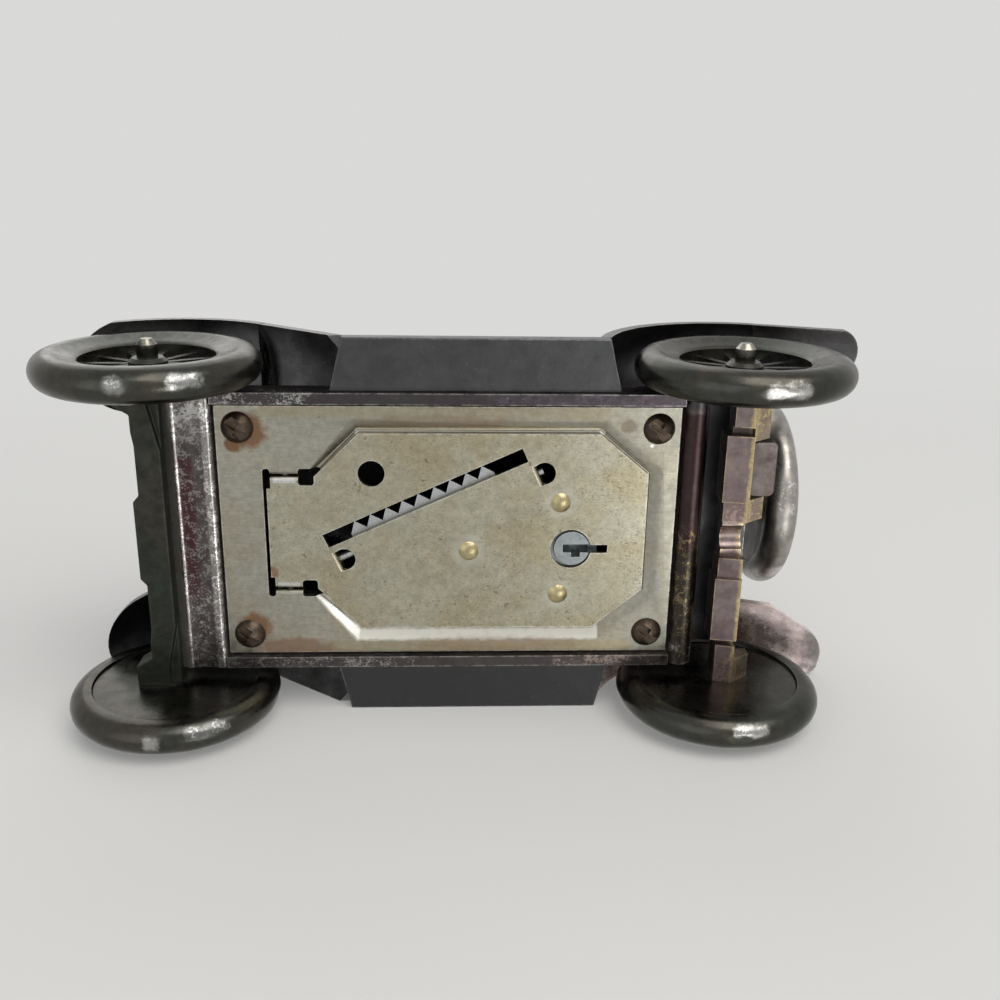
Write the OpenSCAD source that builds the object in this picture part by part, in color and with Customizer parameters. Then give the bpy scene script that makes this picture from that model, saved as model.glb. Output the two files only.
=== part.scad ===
// Car coin bank: a closed two-door sedan of the late 1920s, cast hollow in white metal and
// standing on its own wheels. A sheet-steel trap is let into its underside: a frame plate, a
// hinged door with a slanting coin slot, a toothed guard behind the slot and a round key lock.
// X runs towards the radiator, Y to the car's left and Z up. The origin is on the ground under
// the middle of the whole length. Inside the modules X is counted from midway between the axles.

/* [Wheels] */
// Distance between the front and rear axles
wheelbase = 87; // [84:1:96]
// Distance between the middles of the left and right tyres
track = 53; // [52:0.5:56]
// Outside diameter of the tyres
tyre_d = 32.4; // [30:0.2:34]
// Width of a tyre across its section
tyre_w = 5.2; // [4.6:0.2:5.8]
// Height of a tyre's section
tyre_h = 5.4; // [4.8:0.2:6]
// Depth worn flat on each tyre where the bank stands
tyre_flat = 0.1; // [0.05:0.01:0.15]
// Width of the rim between the tyre and the spokes
rim_w = 1.8; // [1.2:0.2:2.6]
// Thickness of the solid disc behind the spokes
disc_t = 1.4; // [1:0.1:2]
// Number of spokes in a wheel
spokes = 12; // [8:1:14]
// Width of a spoke
spoke_w = 1; // [0.7:0.1:1.3]
// Height of a spoke above the disc
spoke_h = 1; // [0.6:0.1:1.4]
// Diameter of the hub
hub_d = 5.6; // [4.6:0.2:6.4]
// Diameter of the hub cap
cap_d = 3; // [2.4:0.2:3.6]
// Reach of the hub cap past the middle of the tyre
cap_out = 3.9; // [3.4:0.1:4]

/* [Underside] */
// Height of the trap frame's outer face above the ground
trap_z = 17.4; // [16.6:0.2:18.6]
// Depth of the trap frame below the rails round it
trap_recess = 1; // [0.6:0.1:1.6]
// Height of the deck that the body stands on
deck_z = 21.4; // [21:0.2:22.4]
// Thickness of the deck over the front corners
deck_t = 1.5; // [1:0.1:1.6]
// Length of the front rail
rail_front = 7; // [5:0.5:8]
// Width of the band in front of the ridge along the front rail
rail_band = 1.4; // [1:0.1:1.8]
// Depth of the dished face between the trap and that ridge
rail_dish = 0.5; // [0.3:0.1:0.8]
// Length of the rear rail
rail_rear = 4; // [3:0.5:5]
// Width of each side rail
rail_side = 1.8; // [1.4:0.1:2.4]
// Width of the ledge under the edge of the trap frame
ledge = 1.8; // [1.2:0.1:2]
// Depth of the screw holes above the ledge
screw_depth = 2.5; // [2.2:0.1:2.6]
// Diameter of the screw bosses
boss_d = 6; // [5:0.2:6.4]
// Length of the front axle beam along the car
axle_l = 3.8; // [3.2:0.2:4.2]
// Half width of the front axle's proud middle
middle_y = 6.2; // [5:0.2:8]
// Length of the rear axle beam along the car, without the ridge behind it
rear_axle_l = 3.3; // [3:0.1:3.6]
// Length of the slope behind the rear axle's ridge
rear_slope_l = 2.9; // [2.4:0.1:3.2]
// Height of each axle beam
axle_h = 4; // [3:0.2:4.4]
// Gap between the rear rail and the rear axle beam
axle_gap = 2.8; // [2:0.2:3.4]
// Height of the running boards
board_z = 17.5; // [17.2:0.1:18]
// Thickness of the running boards
board_t = 2.2; // [1.6:0.1:2.6]
// Distance of the running boards' front ends behind the front axle
board_fore = 25.5; // [24.5:0.5:27.5]
// Distance of the running boards' rear ends ahead of the rear axle
board_aft = 17.7; // [17.5:0.1:18.5]

/* [Body] */
// Width of the cabin at the doors
cabin_w = 41; // [38:0.5:44]
// Width of the cabin at the eaves
eaves_w = 37; // [34:0.5:38]
// Height of the roof at its crown
roof_z = 68; // [64:1:72]
// Height of the eaves
eaves_z = 61; // [59:1:62]
// Height of the belt moulding
belt_z = 46.5; // [45:0.5:48]
// Overhang of the cabin's back behind the rear axle
cabin_over = 4; // [3.5:0.5:4.5]
// Distance of the windscreen's foot ahead of the middle of the wheelbase
screen_x = 14.5; // [12:0.5:16]
// Slope of the windscreen back from its foot to its top
screen_rake = 2.4; // [1:0.2:4]
// Reach of the sun visor
visor_l = 4; // [3:0.2:5]
// Distance of the cowl's front ahead of the middle of the wheelbase
cowl_x = 20.2; // [19:0.2:22]
// Height of the bonnet where it meets the cowl
cowl_z = 46; // [44:0.5:46]
// Width of the bonnet at its foot
bonnet_w = 28; // [26:0.5:30]
// Width of the bonnet behind the radiator
nose_w = 20; // [18:0.5:22]
// Height of the bonnet behind the radiator
nose_z = 44; // [42:0.5:45]
// Distance of the bonnet's front ahead of the front rail
nose_over = 1.8; // [1.4:0.2:4.4]
// Height of the bonnet's upright skirt
skirt_z = 31; // [29:0.5:33]
// Thickness of the cast wall
wall = 2.2; // [1.8:0.1:2.6]
// Depth of the windows below the cabin's sides
window_depth = 0.8; // [0.4:0.1:1.2]
// Height of the windows
window_h = 12; // [9:0.5:12.5]
// Height of the windows' sills above the belt
window_foot = 2; // [1:0.2:3]
// Width of the windscreen
screen_w = 29; // [24:0.5:31]
// Number of louvres on each side of the bonnet
louvres = 11; // [6:1:12]
// Height of a louvre
louvre_h = 9; // [6:0.5:11]
// Thickness of the radiator shell
radiator_l = 3.3; // [2.6:0.1:4]
// Number of upright bars in the radiator
radiator_bars = 11; // [7:1:13]
// Diameter of a headlamp
lamp_d = 8.6; // [7:0.2:9.4]
// Length of a headlamp
lamp_l = 6.4; // [5:0.2:7.4]
// Height of the middle of the headlamps
lamp_z = 38.5; // [37:0.5:40]
// Width between the middles of the headlamps
lamp_span = 31; // [28:0.5:33]
// Gap between each headlamp and the radiator shell between them
lamp_gap = 0.6; // [0.4:0.1:1.2]
// Height of the middle of the spare wheel
spare_z = 39.5; // [38:0.5:41]
// Gap between the cabin's back and the spare tyre
spare_gap = 4.6; // [4:0.2:5.6]

/* [Wings] */
// Distance of the wings' outer edges from the car's middle line
wing_out = 30.5; // [30:0.25:31]
// Radius of a front wing's edges about its own centre
front_wing_r = 18; // [17.6:0.1:18.4]
// Distance of a front wing's centre behind the front axle
front_wing_back = 2.7; // [2.2:0.1:3]
// Height of a front wing's centre above the ground
front_wing_z = 14.5; // [14:0.1:15]
// Radius of a rear wing's edges about its own centre
rear_wing_r = 19; // [18.6:0.1:19.6]
// Distance of a rear wing's centre ahead of the rear axle
rear_wing_fore = 1.2; // [0.8:0.1:1.8]
// Height of a rear wing's centre above the ground
rear_wing_z = 14; // [13.6:0.1:14.6]
// Thickness of a wing
wing_t = 1.3; // [1:0.1:1.6]
// Height of a front wing's crown above its edges
front_crown = 2.2; // [1.6:0.1:2.6]
// Height of a rear wing's crown above its edges
rear_crown = 2.2; // [1.6:0.1:2.6]
// Reach of a front wing's tip ahead of the front axle
tip_over = 13.7; // [12.5:0.1:15.5]
// Reach of a rear wing's tail behind the rear axle
tail_over = 21.5; // [18.5:0.5:23.5]
// Angle up from the front at which a front wing begins
front_start = 28; // [26:1:34]
// Radius of a front wing's rounded tip seen from above
tip_r = 7.6; // [6:0.2:8]
// Radius of a rear wing's rounded tail seen from above
tail_r = 4.5; // [3:0.5:6]
// Angle round the wheel at which a front wing starts its straight run down
front_end = 128; // [124:1:132]
// Angle up from the front at which a rear wing begins
rear_start = 4; // [0:1:8]
// Angle round the wheel at which a rear wing starts its straight tail
rear_end = 110; // [106:1:114]

/* [Trap] */
// Length of the trap frame
frame_l = 70; // [69:0.5:72]
// Width of the trap frame
frame_w = 40.5; // [40:0.25:42]
// Thickness of the frame's sheet
frame_t = 1; // [0.8:0.1:1.1]
// Gap between the trap frame and the rails
frame_gap = 0.4; // [0.2:0.1:0.6]
// Distance of the screws from the frame's ends
screw_inset_x = 3.3; // [3:0.1:3.8]
// Distance of the screws from the frame's sides
screw_inset_y = 3.3; // [3:0.1:3.8]
// Diameter of the screws' heads
screw_head_d = 4.9; // [4.2:0.1:5.2]
// Height of the screws' heads
screw_head_h = 1.5; // [1:0.1:1.8]
// Diameter of the screws' shanks
screw_d = 2.3; // [2:0.1:2.6]
// Length of the screws' shanks
screw_l = 2.7; // [2.4:0.1:2.8]
// Thickness of the door's sheet
door_t = 0.8; // [0.6:0.1:0.9]
// Width of the door
door_w = 32; // [31:0.25:32.5]
// Distance of the door's latch end from the trap frame's rear end
latch_in = 4.5; // [4:0.1:5]
// Distance of the hinge pin from the trap frame's front end
hinge_in = 9.8; // [9.6:0.1:10.2]
// Distance of the door's wide part behind the hinge pin
wide_back = 11.3; // [10.2:0.1:12.2]
// Reach of the door's front edge ahead of the hinge pin
tip_fore = 2.7; // [2.5:0.1:2.8]
// Length of the cut corners at the latch end
corner_x = 7.6; // [6:0.1:8.5]
// Width of the cut corners at the latch end
corner_y = 6.4; // [5.5:0.1:7]
// Half width of the door's neck
neck_y = 9.2; // [8.8:0.1:9.4]
// Gap between the door and the slope of the frame round it
door_gap = 0.3; // [0.2:0.05:0.4]
// Width of the slope pressed into the frame round the door
slope_w = 1.6; // [1.2:0.1:1.9]
// Gap between the door and the frame's rim behind it
rim_gap = 0.2; // [0.1:0.05:0.3]
// Width of the frame's rim behind the door
rim_under = 1.2; // [0.8:0.1:1.6]
// Radius of the folds at the hinge's leaves and the guard's bearings
fold_r = 0.7; // [0.4:0.1:0.8]
// Height of the hinge pin above the frame's outer face
hinge_up = 1.8; // [1.7:0.05:2]
// Diameter of the hinge pin
pin_d = 1.2; // [1:0.05:1.3]
// Length of each hinge ear along the car
ear_l = 4.2; // [3.6:0.1:4.4]
// Running clearance round pins, plug and guard rod, on the radius
fit = 0.05; // [0.03:0.01:0.08]
// Diameter of the round hole in the door
peep_d = 4.1; // [3:0.1:5]

/* [Slot and guard] */
// Length of the coin slot
slot_l = 33.8; // [32:0.1:34.2]
// Width of the coin slot
slot_w = 2.3; // [2:0.1:2.6]
// Angle of the coin slot to the car's length
slot_angle = 24.5; // [20:0.5:25]
// Distance of the slot's middle ahead of the middle of the wheelbase
slot_x = 3.9; // [3.5:0.1:4.3]
// Distance of the slot's middle to the left of the car's middle line
slot_y = 5.7; // [5.5:0.1:6]
// Number of teeth on the guard
teeth = 9; // [7:1:11]
// Length of one tooth along the slot
tooth_pitch = 2.7; // [2.4:0.05:2.8]
// Height of a tooth
tooth_h = 1.7; // [1.2:0.1:1.8]
// Lift of the guard off the door's inner face
guard_lift = 0.15; // [0.1:0.05:0.3]
// Thickness of the guard's sheet
guard_t = 0.6; // [0.5:0.05:0.7]
// Distance of the teeth's roots inside the slot's edge
tooth_in = 0.35; // [0.2:0.05:0.5]
// Distance of the guard's rod from the slot's middle line
rod_off = 3.9; // [3.7:0.05:4.1]
// Diameter of the guard's rod
rod_d = 1.2; // [1:0.05:1.3]
// Distance of the rod's front bearing ahead of the slot's middle
rod_front = 16.4; // [15.6:0.1:16.6]
// Distance of the rod's rear bearing behind the slot's middle
rod_rear = 17.6; // [17.4:0.1:18]
// Shift of the comb from the slot's middle towards the radiator
comb_shift = 0.8; // [0:0.1:1.2]
// Diameter of the D-shaped windows at the rod's ends
window_d = 3.5; // [3:0.1:3.6]
// Width of the guard's leaf spring
leaf_w = 3; // [2.4:0.1:3.6]
// Reach of the guard's leaf spring from its rivet
leaf_l = 9.6; // [9:0.1:10]
// Gap between the leaf spring and the guard's rod
leaf_gap = 0.5; // [0.3:0.1:0.7]
// Thickness of the guard's leaf spring
leaf_t = 0.3; // [0.2:0.05:0.4]

/* [Lock] */
// Distance of the lock from the door's latch end
lock_in = 11.4; // [11.2:0.1:11.6]
// Distance of the lock to the right of the car's middle line
lock_y = 2.6; // [2.4:0.1:2.8]
// Diameter of the lock's hole in the door
lock_hole_d = 6.4; // [6.2:0.05:6.5]
// Shift of the lock's hole towards the radiator
lock_hole_shift = 0.2; // [0:0.05:0.3]
// Diameter of the turning plug
plug_d = 5.6; // [5:0.1:5.7]
// Depth of the plug's face behind the door's outer face
plug_in = 0.15; // [0:0.05:0.3]
// Width of the collar round the plug
collar_w = 0.6; // [0.5:0.1:0.8]
// Diameter of the lock case's barrel
case_d = 8.6; // [8.2:0.1:9]
// Depth of the lock case behind the door
case_h = 4.2; // [3.8:0.1:4.6]
// Thickness of the lock case's flange
flange_t = 0.6; // [0.5:0.05:0.8]
// Distance of each lock rivet from the lock, across the car
rivet_y = 7.65; // [7.2:0.05:8]
// Distance of the lock rivets ahead of the lock
rivet_x = 2; // [1.4:0.1:2.2]
// Diameter of the rivets' heads
rivet_head_d = 3.2; // [2.8:0.1:3.4]
// Height of the rivets' heads
rivet_head_h = 0.6; // [0.4:0.05:0.8]
// Diameter of the rivets' shanks
rivet_d = 2; // [1.6:0.1:2.2]
// Width of the keyway and of the notch beside it
keyway_w = 1.35; // [1.1:0.05:1.5]
// Reach of the key's notch in the door from the middle of the lock
notch_l = 5.6; // [5:0.1:6]
// Thickness of the latch cam
cam_t = 0.8; // [0.6:0.05:1]
// Diameter of the latch cam round the plug's tail
cam_hub_d = 5.4; // [5:0.1:6]
// Length of the latch cam's hook
hook_l = 2.4; // [2:0.1:2.6]
// Width of the latch cam
cam_w = 3.2; // [2.6:0.1:3.6]
// Reach of the latch cam from the middle of the lock
cam_l = 12.6; // [12.4:0.1:13]
// Gap between the cam's hook and the frame's rim
cam_gap = 0.3; // [0.2:0.05:0.4]

/* [Hidden] */
$fn = 64;

// Colours of the cast metal and of the trap's steel and brass
dark_metal = "#3d3a3c";
tyre_metal = "#4a463f";
bronze_metal = "#5b4a45";
steel = "#b9b29c";
bright_steel = "#c9ced2";
brass = "#b8a26a";
screw_steel = "#54402f";

// A little more than nothing, for cuts that run past a face
eps = 0.01;
past = 1;
far = 40;

// Step between a wing's bend and its straight run, and the run's lap over the bend
run_step = 0.04;
run_lap = 0.3;

// Places that follow from the sizes above
tyre_r = tyre_d/2;
axle_x = wheelbase/2;
axle_z = tyre_r - tyre_flat;
wheel_y = track/2;
shift_x = (tail_over - tyre_r)/2;
wing_tip = axle_x + tip_over;
wing_tail = axle_x + tail_over;
cabin_back = axle_x + cabin_over;
board_front = axle_x - board_fore;
board_back = axle_x - board_aft;
rail_z = trap_z - trap_recess;
pocket_l = frame_l + 2*frame_gap;
pocket_w = frame_w + 2*frame_gap;
frame_in = trap_z + frame_t;
ring_front = pocket_l/2 + rail_front;
ring_back = pocket_l/2 + rail_rear;
ring_y = pocket_w/2 + rail_side;
nose_x = ring_front + nose_over;
shell_y = (lamp_span - lamp_d)/2 - lamp_gap;
shell_foot = 2.4;
side_y = cabin_w/2;
skirt_y = bonnet_w/2;
cowl_half = (side_y + skirt_y)/2 + 0.6;
board_top = board_z + board_t;
screw_x = frame_l/2 - screw_inset_x;
screw_y = frame_w/2 - screw_inset_y;
hinge_x = frame_l/2 - hinge_in;
hinge_z = trap_z + hinge_up;
door_back = frame_l/2 - latch_in;
door_front = hinge_x - wide_back;
door_tip = hinge_x + tip_fore;
lock_x = door_back - lock_in;
ear_r = ear_l/2;
ear_t = door_t;
lug_t = 0.8;
lug_y = neck_y + 0.3;
cutout_tip = door_tip + 0.5;
pin_head_d = 2*(hinge_up - frame_t) - 0.1;
pin_head_l = 0.5;
door_out = trap_z + 0.1;
door_in = door_out + door_t;
rim_out = door_in + rim_gap;
rim_in = rim_out + frame_t;
rod_z = door_in + 0.9;
bearing_x = [rod_front, -rod_rear];
lug_r = 1.4;
lug_lean = 0.8;
relief_r = 0.5;
fold_half = sqrt(pow(window_d/2, 2) - pow(lug_lean, 2)) + 0.1;
guard_lug_t = 0.7;
case_top = door_in + case_h;
cam_z = case_top + 0.15;
hook_z = rim_in + cam_gap;
rear_beam_x = ring_back + axle_gap;

// Sides of the rear axle's hangers and of the bracket plate, from the car's middle line
hanger_y = [8, 14];
bracket_y = [6.9, 15.6];

module placed() translate([shift_x, 0, 0]) children();

// Turns a child drawn round Z so that it lies round Y, with its Z pointing to the car's right
module round_y() rotate([90, 0, 0]) children();

// Repeats a child on the left and the right of the car
module both_sides() {
    children();
    mirror([0, 1, 0]) children();
}

function arc(cx, cy, r, a0, a1, n = 16) =
    [for (i = [0:n]) let (a = a0 + (a1 - a0)*i/n) [cx + r*cos(a), cy + r*sin(a)]];

// Quarter of a rounded square of half sizes a and b, from its side up to its top
function crown(a, b, e = 0.5, n = 14) =
    [for (i = [0:n]) let (t = 90*i/n) [a*pow(cos(t), e), b*pow(sin(t), e)]];

function flip_x(pts) = [for (i = [len(pts) - 1:-1:0]) [-pts[i].x, pts[i].y]];

// Cabin across the car, drawn smaller by d all round
function cabin_section(d) = let (
    side = concat([[side_y - d, deck_z - past], [side_y - d, belt_z]],
        [for (p = crown(eaves_w/2 - d, roof_z - eaves_z - d)) [p.x, eaves_z + p.y]])
) concat(side, flip_x(side));

// Cabin seen from the side, drawn smaller by d all round
function cabin_profile(d) = let (
    top = roof_z - d,
    back = -cabin_back + d,
    turn = 9,
    visor = d > 0 ? 0 : visor_l
) concat(
    [[cowl_x + (d > 0 ? past : 0), deck_z - past], [cowl_x + (d > 0 ? past : 0), cowl_z - d],
     [screen_x - d, cowl_z + 0.8 - d], [screen_x - screen_rake - d, eaves_z + 1.6 - d],
     [screen_x - screen_rake - d + visor, eaves_z + 2.2 - d],
     [screen_x - screen_rake - d + visor, eaves_z + 3.2 - d]],
    [for (i = [0:8]) let (x = screen_x - screen_rake - i*(screen_x + cabin_back - turn)/8)
        [x, top - pow((x + 15)/30, 2)]],
    [for (i = [1:12]) let (t = 90*i/12, c = top - 1 - turn)
        [back + turn - turn*pow(sin(t), 0.7), c + turn*pow(cos(t), 0.7)]],
    [[back, deck_z - past]]);

// Half of the cabin's plan, from the cowl back, drawn smaller by d all round
function cabin_plan(d) = let (
    flare = cowl_x - 9,
    side = concat(
        [[cowl_x + (d > 0 ? past : 0), skirt_y - d]],
        [for (i = [0:10]) let (s = i/10)
            [cowl_x - flare*s, skirt_y - d + (side_y - skirt_y)*(1 - cos(180*s))/2]],
        arc(-cabin_back + 3, side_y - 3, 3 - min(d, 2.5), 90, 180, 8))
) concat(side, [for (i = [len(side) - 1:-1:0]) [side[i].x, -side[i].y]]);

module cabin_solid(d) intersection() {
    translate([60, 0, 0]) rotate([90, 0, -90]) linear_extrude(120) polygon(cabin_section(d));
    translate([0, 40, 0]) rotate([90, 0, 0]) linear_extrude(80) polygon(cabin_profile(d));
    translate([0, 0, deck_z]) linear_extrude(60) polygon(cabin_plan(d));
    union() {
        translate([-80, -40, 0]) cube([80 + screen_x - d, 80, 80]);
        translate([0, -40, belt_z + 3]) cube([60, 80, 60]);
        hull() {
            bonnet_slice(screen_x - d - eps, 2*cowl_half, cowl_z + 0.8, d);
            bonnet_slice(cowl_x, bonnet_w, cowl_z, d);
        }
        if (d > 0) bonnet_solid(cowl_x - eps, cowl_x + 2*past, d);
    }
}

// Rectangle of width w and height h with corners of radius r
module rounded(w, h, r) {
    translate([r, 0]) square([w - 2*r, h]);
    translate([0, r]) square([w, h - 2*r]);
    for (x = [r, w - r], y = [r, h - r]) translate([x, y]) circle(r = r);
}

// One side window between x0 and x1, sunk square to the sloping side
module side_window(x0, x1) {
    slope = atan((side_y - eaves_w/2)/(eaves_z - belt_z));
    translate([x0, side_y, belt_z]) rotate([slope, 0, 0])
        translate([0, 4, window_foot]) rotate([90, 0, 0])
            linear_extrude(4 + window_depth) rounded(x1 - x0, window_h, 1.2);
}

// Windows of the cabin: two on each side, one in front and one behind
module windows() {
    both_sides() {
        side_window(-12.5, 7.6);
        side_window(-37, -16.5);
    }
    rake = atan(screen_rake/(eaves_z + 0.8 - cowl_z));
    translate([screen_x, -screen_w/2, cowl_z + 0.8]) rotate([0, -rake, 0])
        translate([-window_depth, 0, window_foot + 0.6]) rotate([90, 0, 90])
            linear_extrude(20) rounded(screen_w, window_h - 0.6, 1.2);
    translate([-cabin_back - past, -8.5, eaves_z - 4]) rotate([90, 0, 90])
        linear_extrude(past + window_depth) rounded(17, 5.5, 1);
}

// Grooves round one door
module door_grooves() {
    groove = 0.35;
    for (x = [-13.8, 9.4])
        translate([x, side_y - groove, deck_z + 2.6]) cube([0.5, 3, belt_z - deck_z - 2.6]);
    translate([-13.8, side_y - groove, deck_z + 2.6]) cube([23.7, 3, 0.5]);
}

// Hollow cabin with its cowl, roof, windows and the floor behind the trap
module cabin() color(dark_metal) placed() {
    difference() {
        cabin_solid(0);
        difference() {
            cabin_solid(wall);
            translate([-80, -40, 0]) cube([80 - pocket_l/2, 80, deck_z + wall]);
        }
        windows();
        both_sides() door_grooves();
    }
    both_sides() {
        // Belt moulding
        translate([-cabin_back + 3, side_y, belt_z - 1.6]) cube([cabin_back + 6, 0.5, 1.1]);
        // Door handle
        translate([-11.5, side_y, belt_z - 5]) rotate([-90, 0, 0]) cylinder(d = 1.4, h = 0.9);
        translate([-12, side_y + 0.9, belt_z - 5.5]) cube([4.4, 0.8, 1]);
    }
}

// Bonnet across the car at its foot, with a crowned top
function bonnet_section(w, z, d) = let (
    side = concat([[w/2 - d, deck_z - past]],
        [for (p = crown(w/2 - d, 9 - d, 0.62)) [p.x, z - 9 + p.y]])
) concat(side, flip_x(side));

module bonnet_slice(x, w, z, d)
    translate([x, 0, 0]) rotate([90, 0, 90]) linear_extrude(eps) polygon(bonnet_section(w, z, d));

module bonnet_solid(x0, x1, d) intersection() {
    hull() {
        bonnet_slice(x0, bonnet_w, cowl_z, d);
        bonnet_slice(x1 - eps, nose_w, nose_z, d);
    }
    translate([0, -40, deck_z]) cube([80, 80, 60]);
}

// Bonnet with its upright skirts, louvres and centre hinge bead
module bonnet() color(dark_metal) placed() {
    nose_wall = 2*wall;
    taper = atan((bonnet_w - nose_w)/2/(nose_x - cowl_x));
    difference() {
        union() {
            bonnet_solid(cowl_x, nose_x, 0);
            translate([cowl_x, -skirt_y, deck_z])
                cube([nose_x - cowl_x, bonnet_w, skirt_z - deck_z]);
        }
        difference() {
            bonnet_solid(cowl_x - past, nose_x, wall);
            translate([nose_x - nose_wall, -40, 0]) cube([40, 80, 80]);
        }
        both_sides() translate([cowl_x, skirt_y, 0]) rotate([0, 0, -taper])
            for (i = [0:louvres - 1])
                translate([4 + i*1.7, -0.45, skirt_z + 1]) rotate([0, 0, 20])
                    cube([0.5, 2, louvre_h]);
    }
    // Hinge bead along the top
    translate([0, 0, -0.1]) hull() {
        translate([cowl_x, 0, cowl_z]) rotate([0, 90, 0]) cylinder(d = 0.9, h = eps, $fn = 20);
        translate([nose_x - eps, 0, nose_z]) rotate([0, 90, 0])
            cylinder(d = 0.9, h = eps, $fn = 20);
    }
}

// Radiator outline, drawn smaller by d all round
function radiator_outline(d) = let (
    foot = deck_z - shell_foot + d,
    turn = 7,
    rise = 1.4,
    side = concat([[shell_y - d, foot]],
        [for (p = crown(shell_y - d, turn - d, 0.7)) [p.x, nose_z + rise - turn + p.y]])
) concat(side, flip_x(side));

// Radiator shell with upright bars, a filler cap and the apron below
module radiator() color(bronze_metal) placed() {
    rim = 1.5;
    depth = 1.2;
    front = nose_x + radiator_l;
    span = 2*(shell_y - rim);
    bar_w = 0.7;
    apron_w = 13;
    difference() {
        translate([nose_x, 0, 0]) rotate([90, 0, 90]) linear_extrude(radiator_l)
            polygon(radiator_outline(0));
        translate([front - depth, 0, 0]) rotate([90, 0, 90]) linear_extrude(depth + past)
            polygon(radiator_outline(rim));
    }
    intersection() {
        for (i = [0:radiator_bars - 1])
            translate([front - depth - eps, span*((i + 0.5)/radiator_bars - 0.5) - bar_w/2,
                deck_z - shell_foot]) cube([0.8, bar_w, far]);
        translate([nose_x, 0, 0]) rotate([90, 0, 90]) linear_extrude(radiator_l)
            polygon(radiator_outline(rim - 0.3));
    }
    // Filler neck and cap
    translate([nose_x + radiator_l/2, 0, nose_z + 0.9]) {
        cylinder(d = 2.4, h = 1.8);
        translate([0, 0, 1.8]) cylinder(d1 = 3.4, d2 = 2.6, h = 1.3);
    }
    // Apron
    apron_z = axle_z + axle_h/2;
    translate([nose_x, -apron_w/2, apron_z])
        cube([radiator_l - 0.3, apron_w, deck_z - shell_foot - apron_z]);
}

// One headlamp on a bracket from the side of the radiator shell
module headlamp() {
    x = nose_x + radiator_l/2;
    back = lamp_l*0.3;
    translate([x - back, lamp_span/2, lamp_z]) rotate([0, 90, 0])
        rotate_extrude() polygon(concat([[0, -back]],
            [for (i = [1:10]) let (t = 90*i/10)
                [(lamp_d/2 - 0.3)*sin(t), lamp_l*0.7*(1 - cos(t)) - back]],
            [[lamp_d/2, lamp_l*0.42], [lamp_d/2, lamp_l*0.6], [lamp_d/2 - 0.5, lamp_l*0.7],
             [0, lamp_l*0.78]]));
    translate([x - 1, shell_y, lamp_z - 0.8]) cube([2, lamp_span/2 - shell_y - 1, 1.6]);
}

module headlamp_left() color(bronze_metal) placed() headlamp();
module headlamp_right() color(bronze_metal) placed() mirror([0, 1, 0]) headlamp();

// Front rail's section: a rounded lip beside the trap, a dished face, a ridge and a falling band
function front_rail() = let (
    x0 = pocket_l/2,
    lip = 0.8,
    ridge = ring_front - rail_band
) concat(arc(x0 + lip, rail_z + lip, lip, 180, 285, 6),
    [[x0 + 2*lip, rail_z + 0.2], [ridge - 0.32*(ridge - x0), rail_z + rail_dish],
     [ridge - 0.3, rail_z + rail_dish/2], [ridge, rail_z], [ring_front, rail_z + 0.4],
     [ring_front, deck_z], [x0, deck_z]]);

// Rear rail's section: a half-round bar
function rear_rail() = concat(
    arc(-pocket_l/2 - rail_rear/2, rail_z + rail_rear/2, rail_rear/2, 180, 360, 14),
    [[-pocket_l/2, deck_z], [-ring_back, deck_z]]);

// Rail of that section across the car
module rail(section) translate([0, ring_y, 0]) round_y() linear_extrude(2*ring_y) polygon(section);

// Cast ring round the trap: rails outside, a ledge and four bosses inside, and the front deck
module underframe() color(dark_metal) placed() difference() {
    open_x = pocket_l/2 - ledge;
    open_y = pocket_w/2 - ledge;
    deck_x = screen_x - 5;
    union() {
        rail(front_rail());
        rail(rear_rail());
        difference() {
            translate([-pocket_l/2, -ring_y, rail_z]) cube([pocket_l, 2*ring_y, deck_z - rail_z]);
            translate([-open_x, -open_y, 0]) cube([2*open_x, 2*open_y, far]);
            translate([-pocket_l/2 - past, -pocket_w/2, 0])
                cube([pocket_l + 2*past, pocket_w, frame_in]);
        }
        for (sx = [-1, 1], sy = [-1, 1]) translate([sx*screw_x, sy*screw_y, frame_in])
            cylinder(d = boss_d, h = deck_z - frame_in);
        both_sides() translate([deck_x, skirt_y - wall, deck_z - deck_t])
            cube([pocket_l/2 - deck_x, ring_y - skirt_y + wall, deck_t]);
    }
    for (sx = [-1, 1], sy = [-1, 1]) translate([sx*screw_x, sy*screw_y, frame_in - past])
        cylinder(d = screw_d + 2*fit, h = screw_depth + past);
}

// A wing's section between y0 and y1, with its edges at radius r and a crown of c
module wing_section(r, y0, y1, c) {
    half = (y1 - y0)/2;
    bow = (half*half + c*c)/(2*c);
    turn = asin(half/bow);
    top = bow + wing_t;
    polygon(concat(arc(r + c - bow, y0 + half, bow, -turn, turn, 10),
        arc(r + c - bow, y0 + half, top, asin(half/top), -asin(half/top), 10)));
}

// Wing of that section about x, z from a0 to a1, with a straight run of length l after a1
module wing_strip(x, z, r, y0, c, a0, a1, l)
    translate([x, 0, z]) mirror([0, 1, 0]) round_y() {
        rotate_extrude(angle = a1 - a0, start = a0, $fn = 96) wing_section(r, y0, wing_out, c);
        rotate([0, 0, a1]) translate([0, -run_lap, 0]) rotate([-90, 0, 0]) mirror([0, 1, 0])
            linear_extrude(l) wing_section(r + run_step, y0 + run_step, wing_out - run_step, c);
    }

// What a wing leaves free: the underframe, the running board and the cabin
module wing_clear() {
    translate([-ring_back, 0, 0]) cube([ring_back + ring_front, ring_y, deck_z]);
    translate([-axle_x, 0, 0]) cube([wheelbase, 40, board_top]);
    translate([-cabin_back, 0, 0]) cube([cabin_back + cowl_x, side_y, 60]);
}

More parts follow.
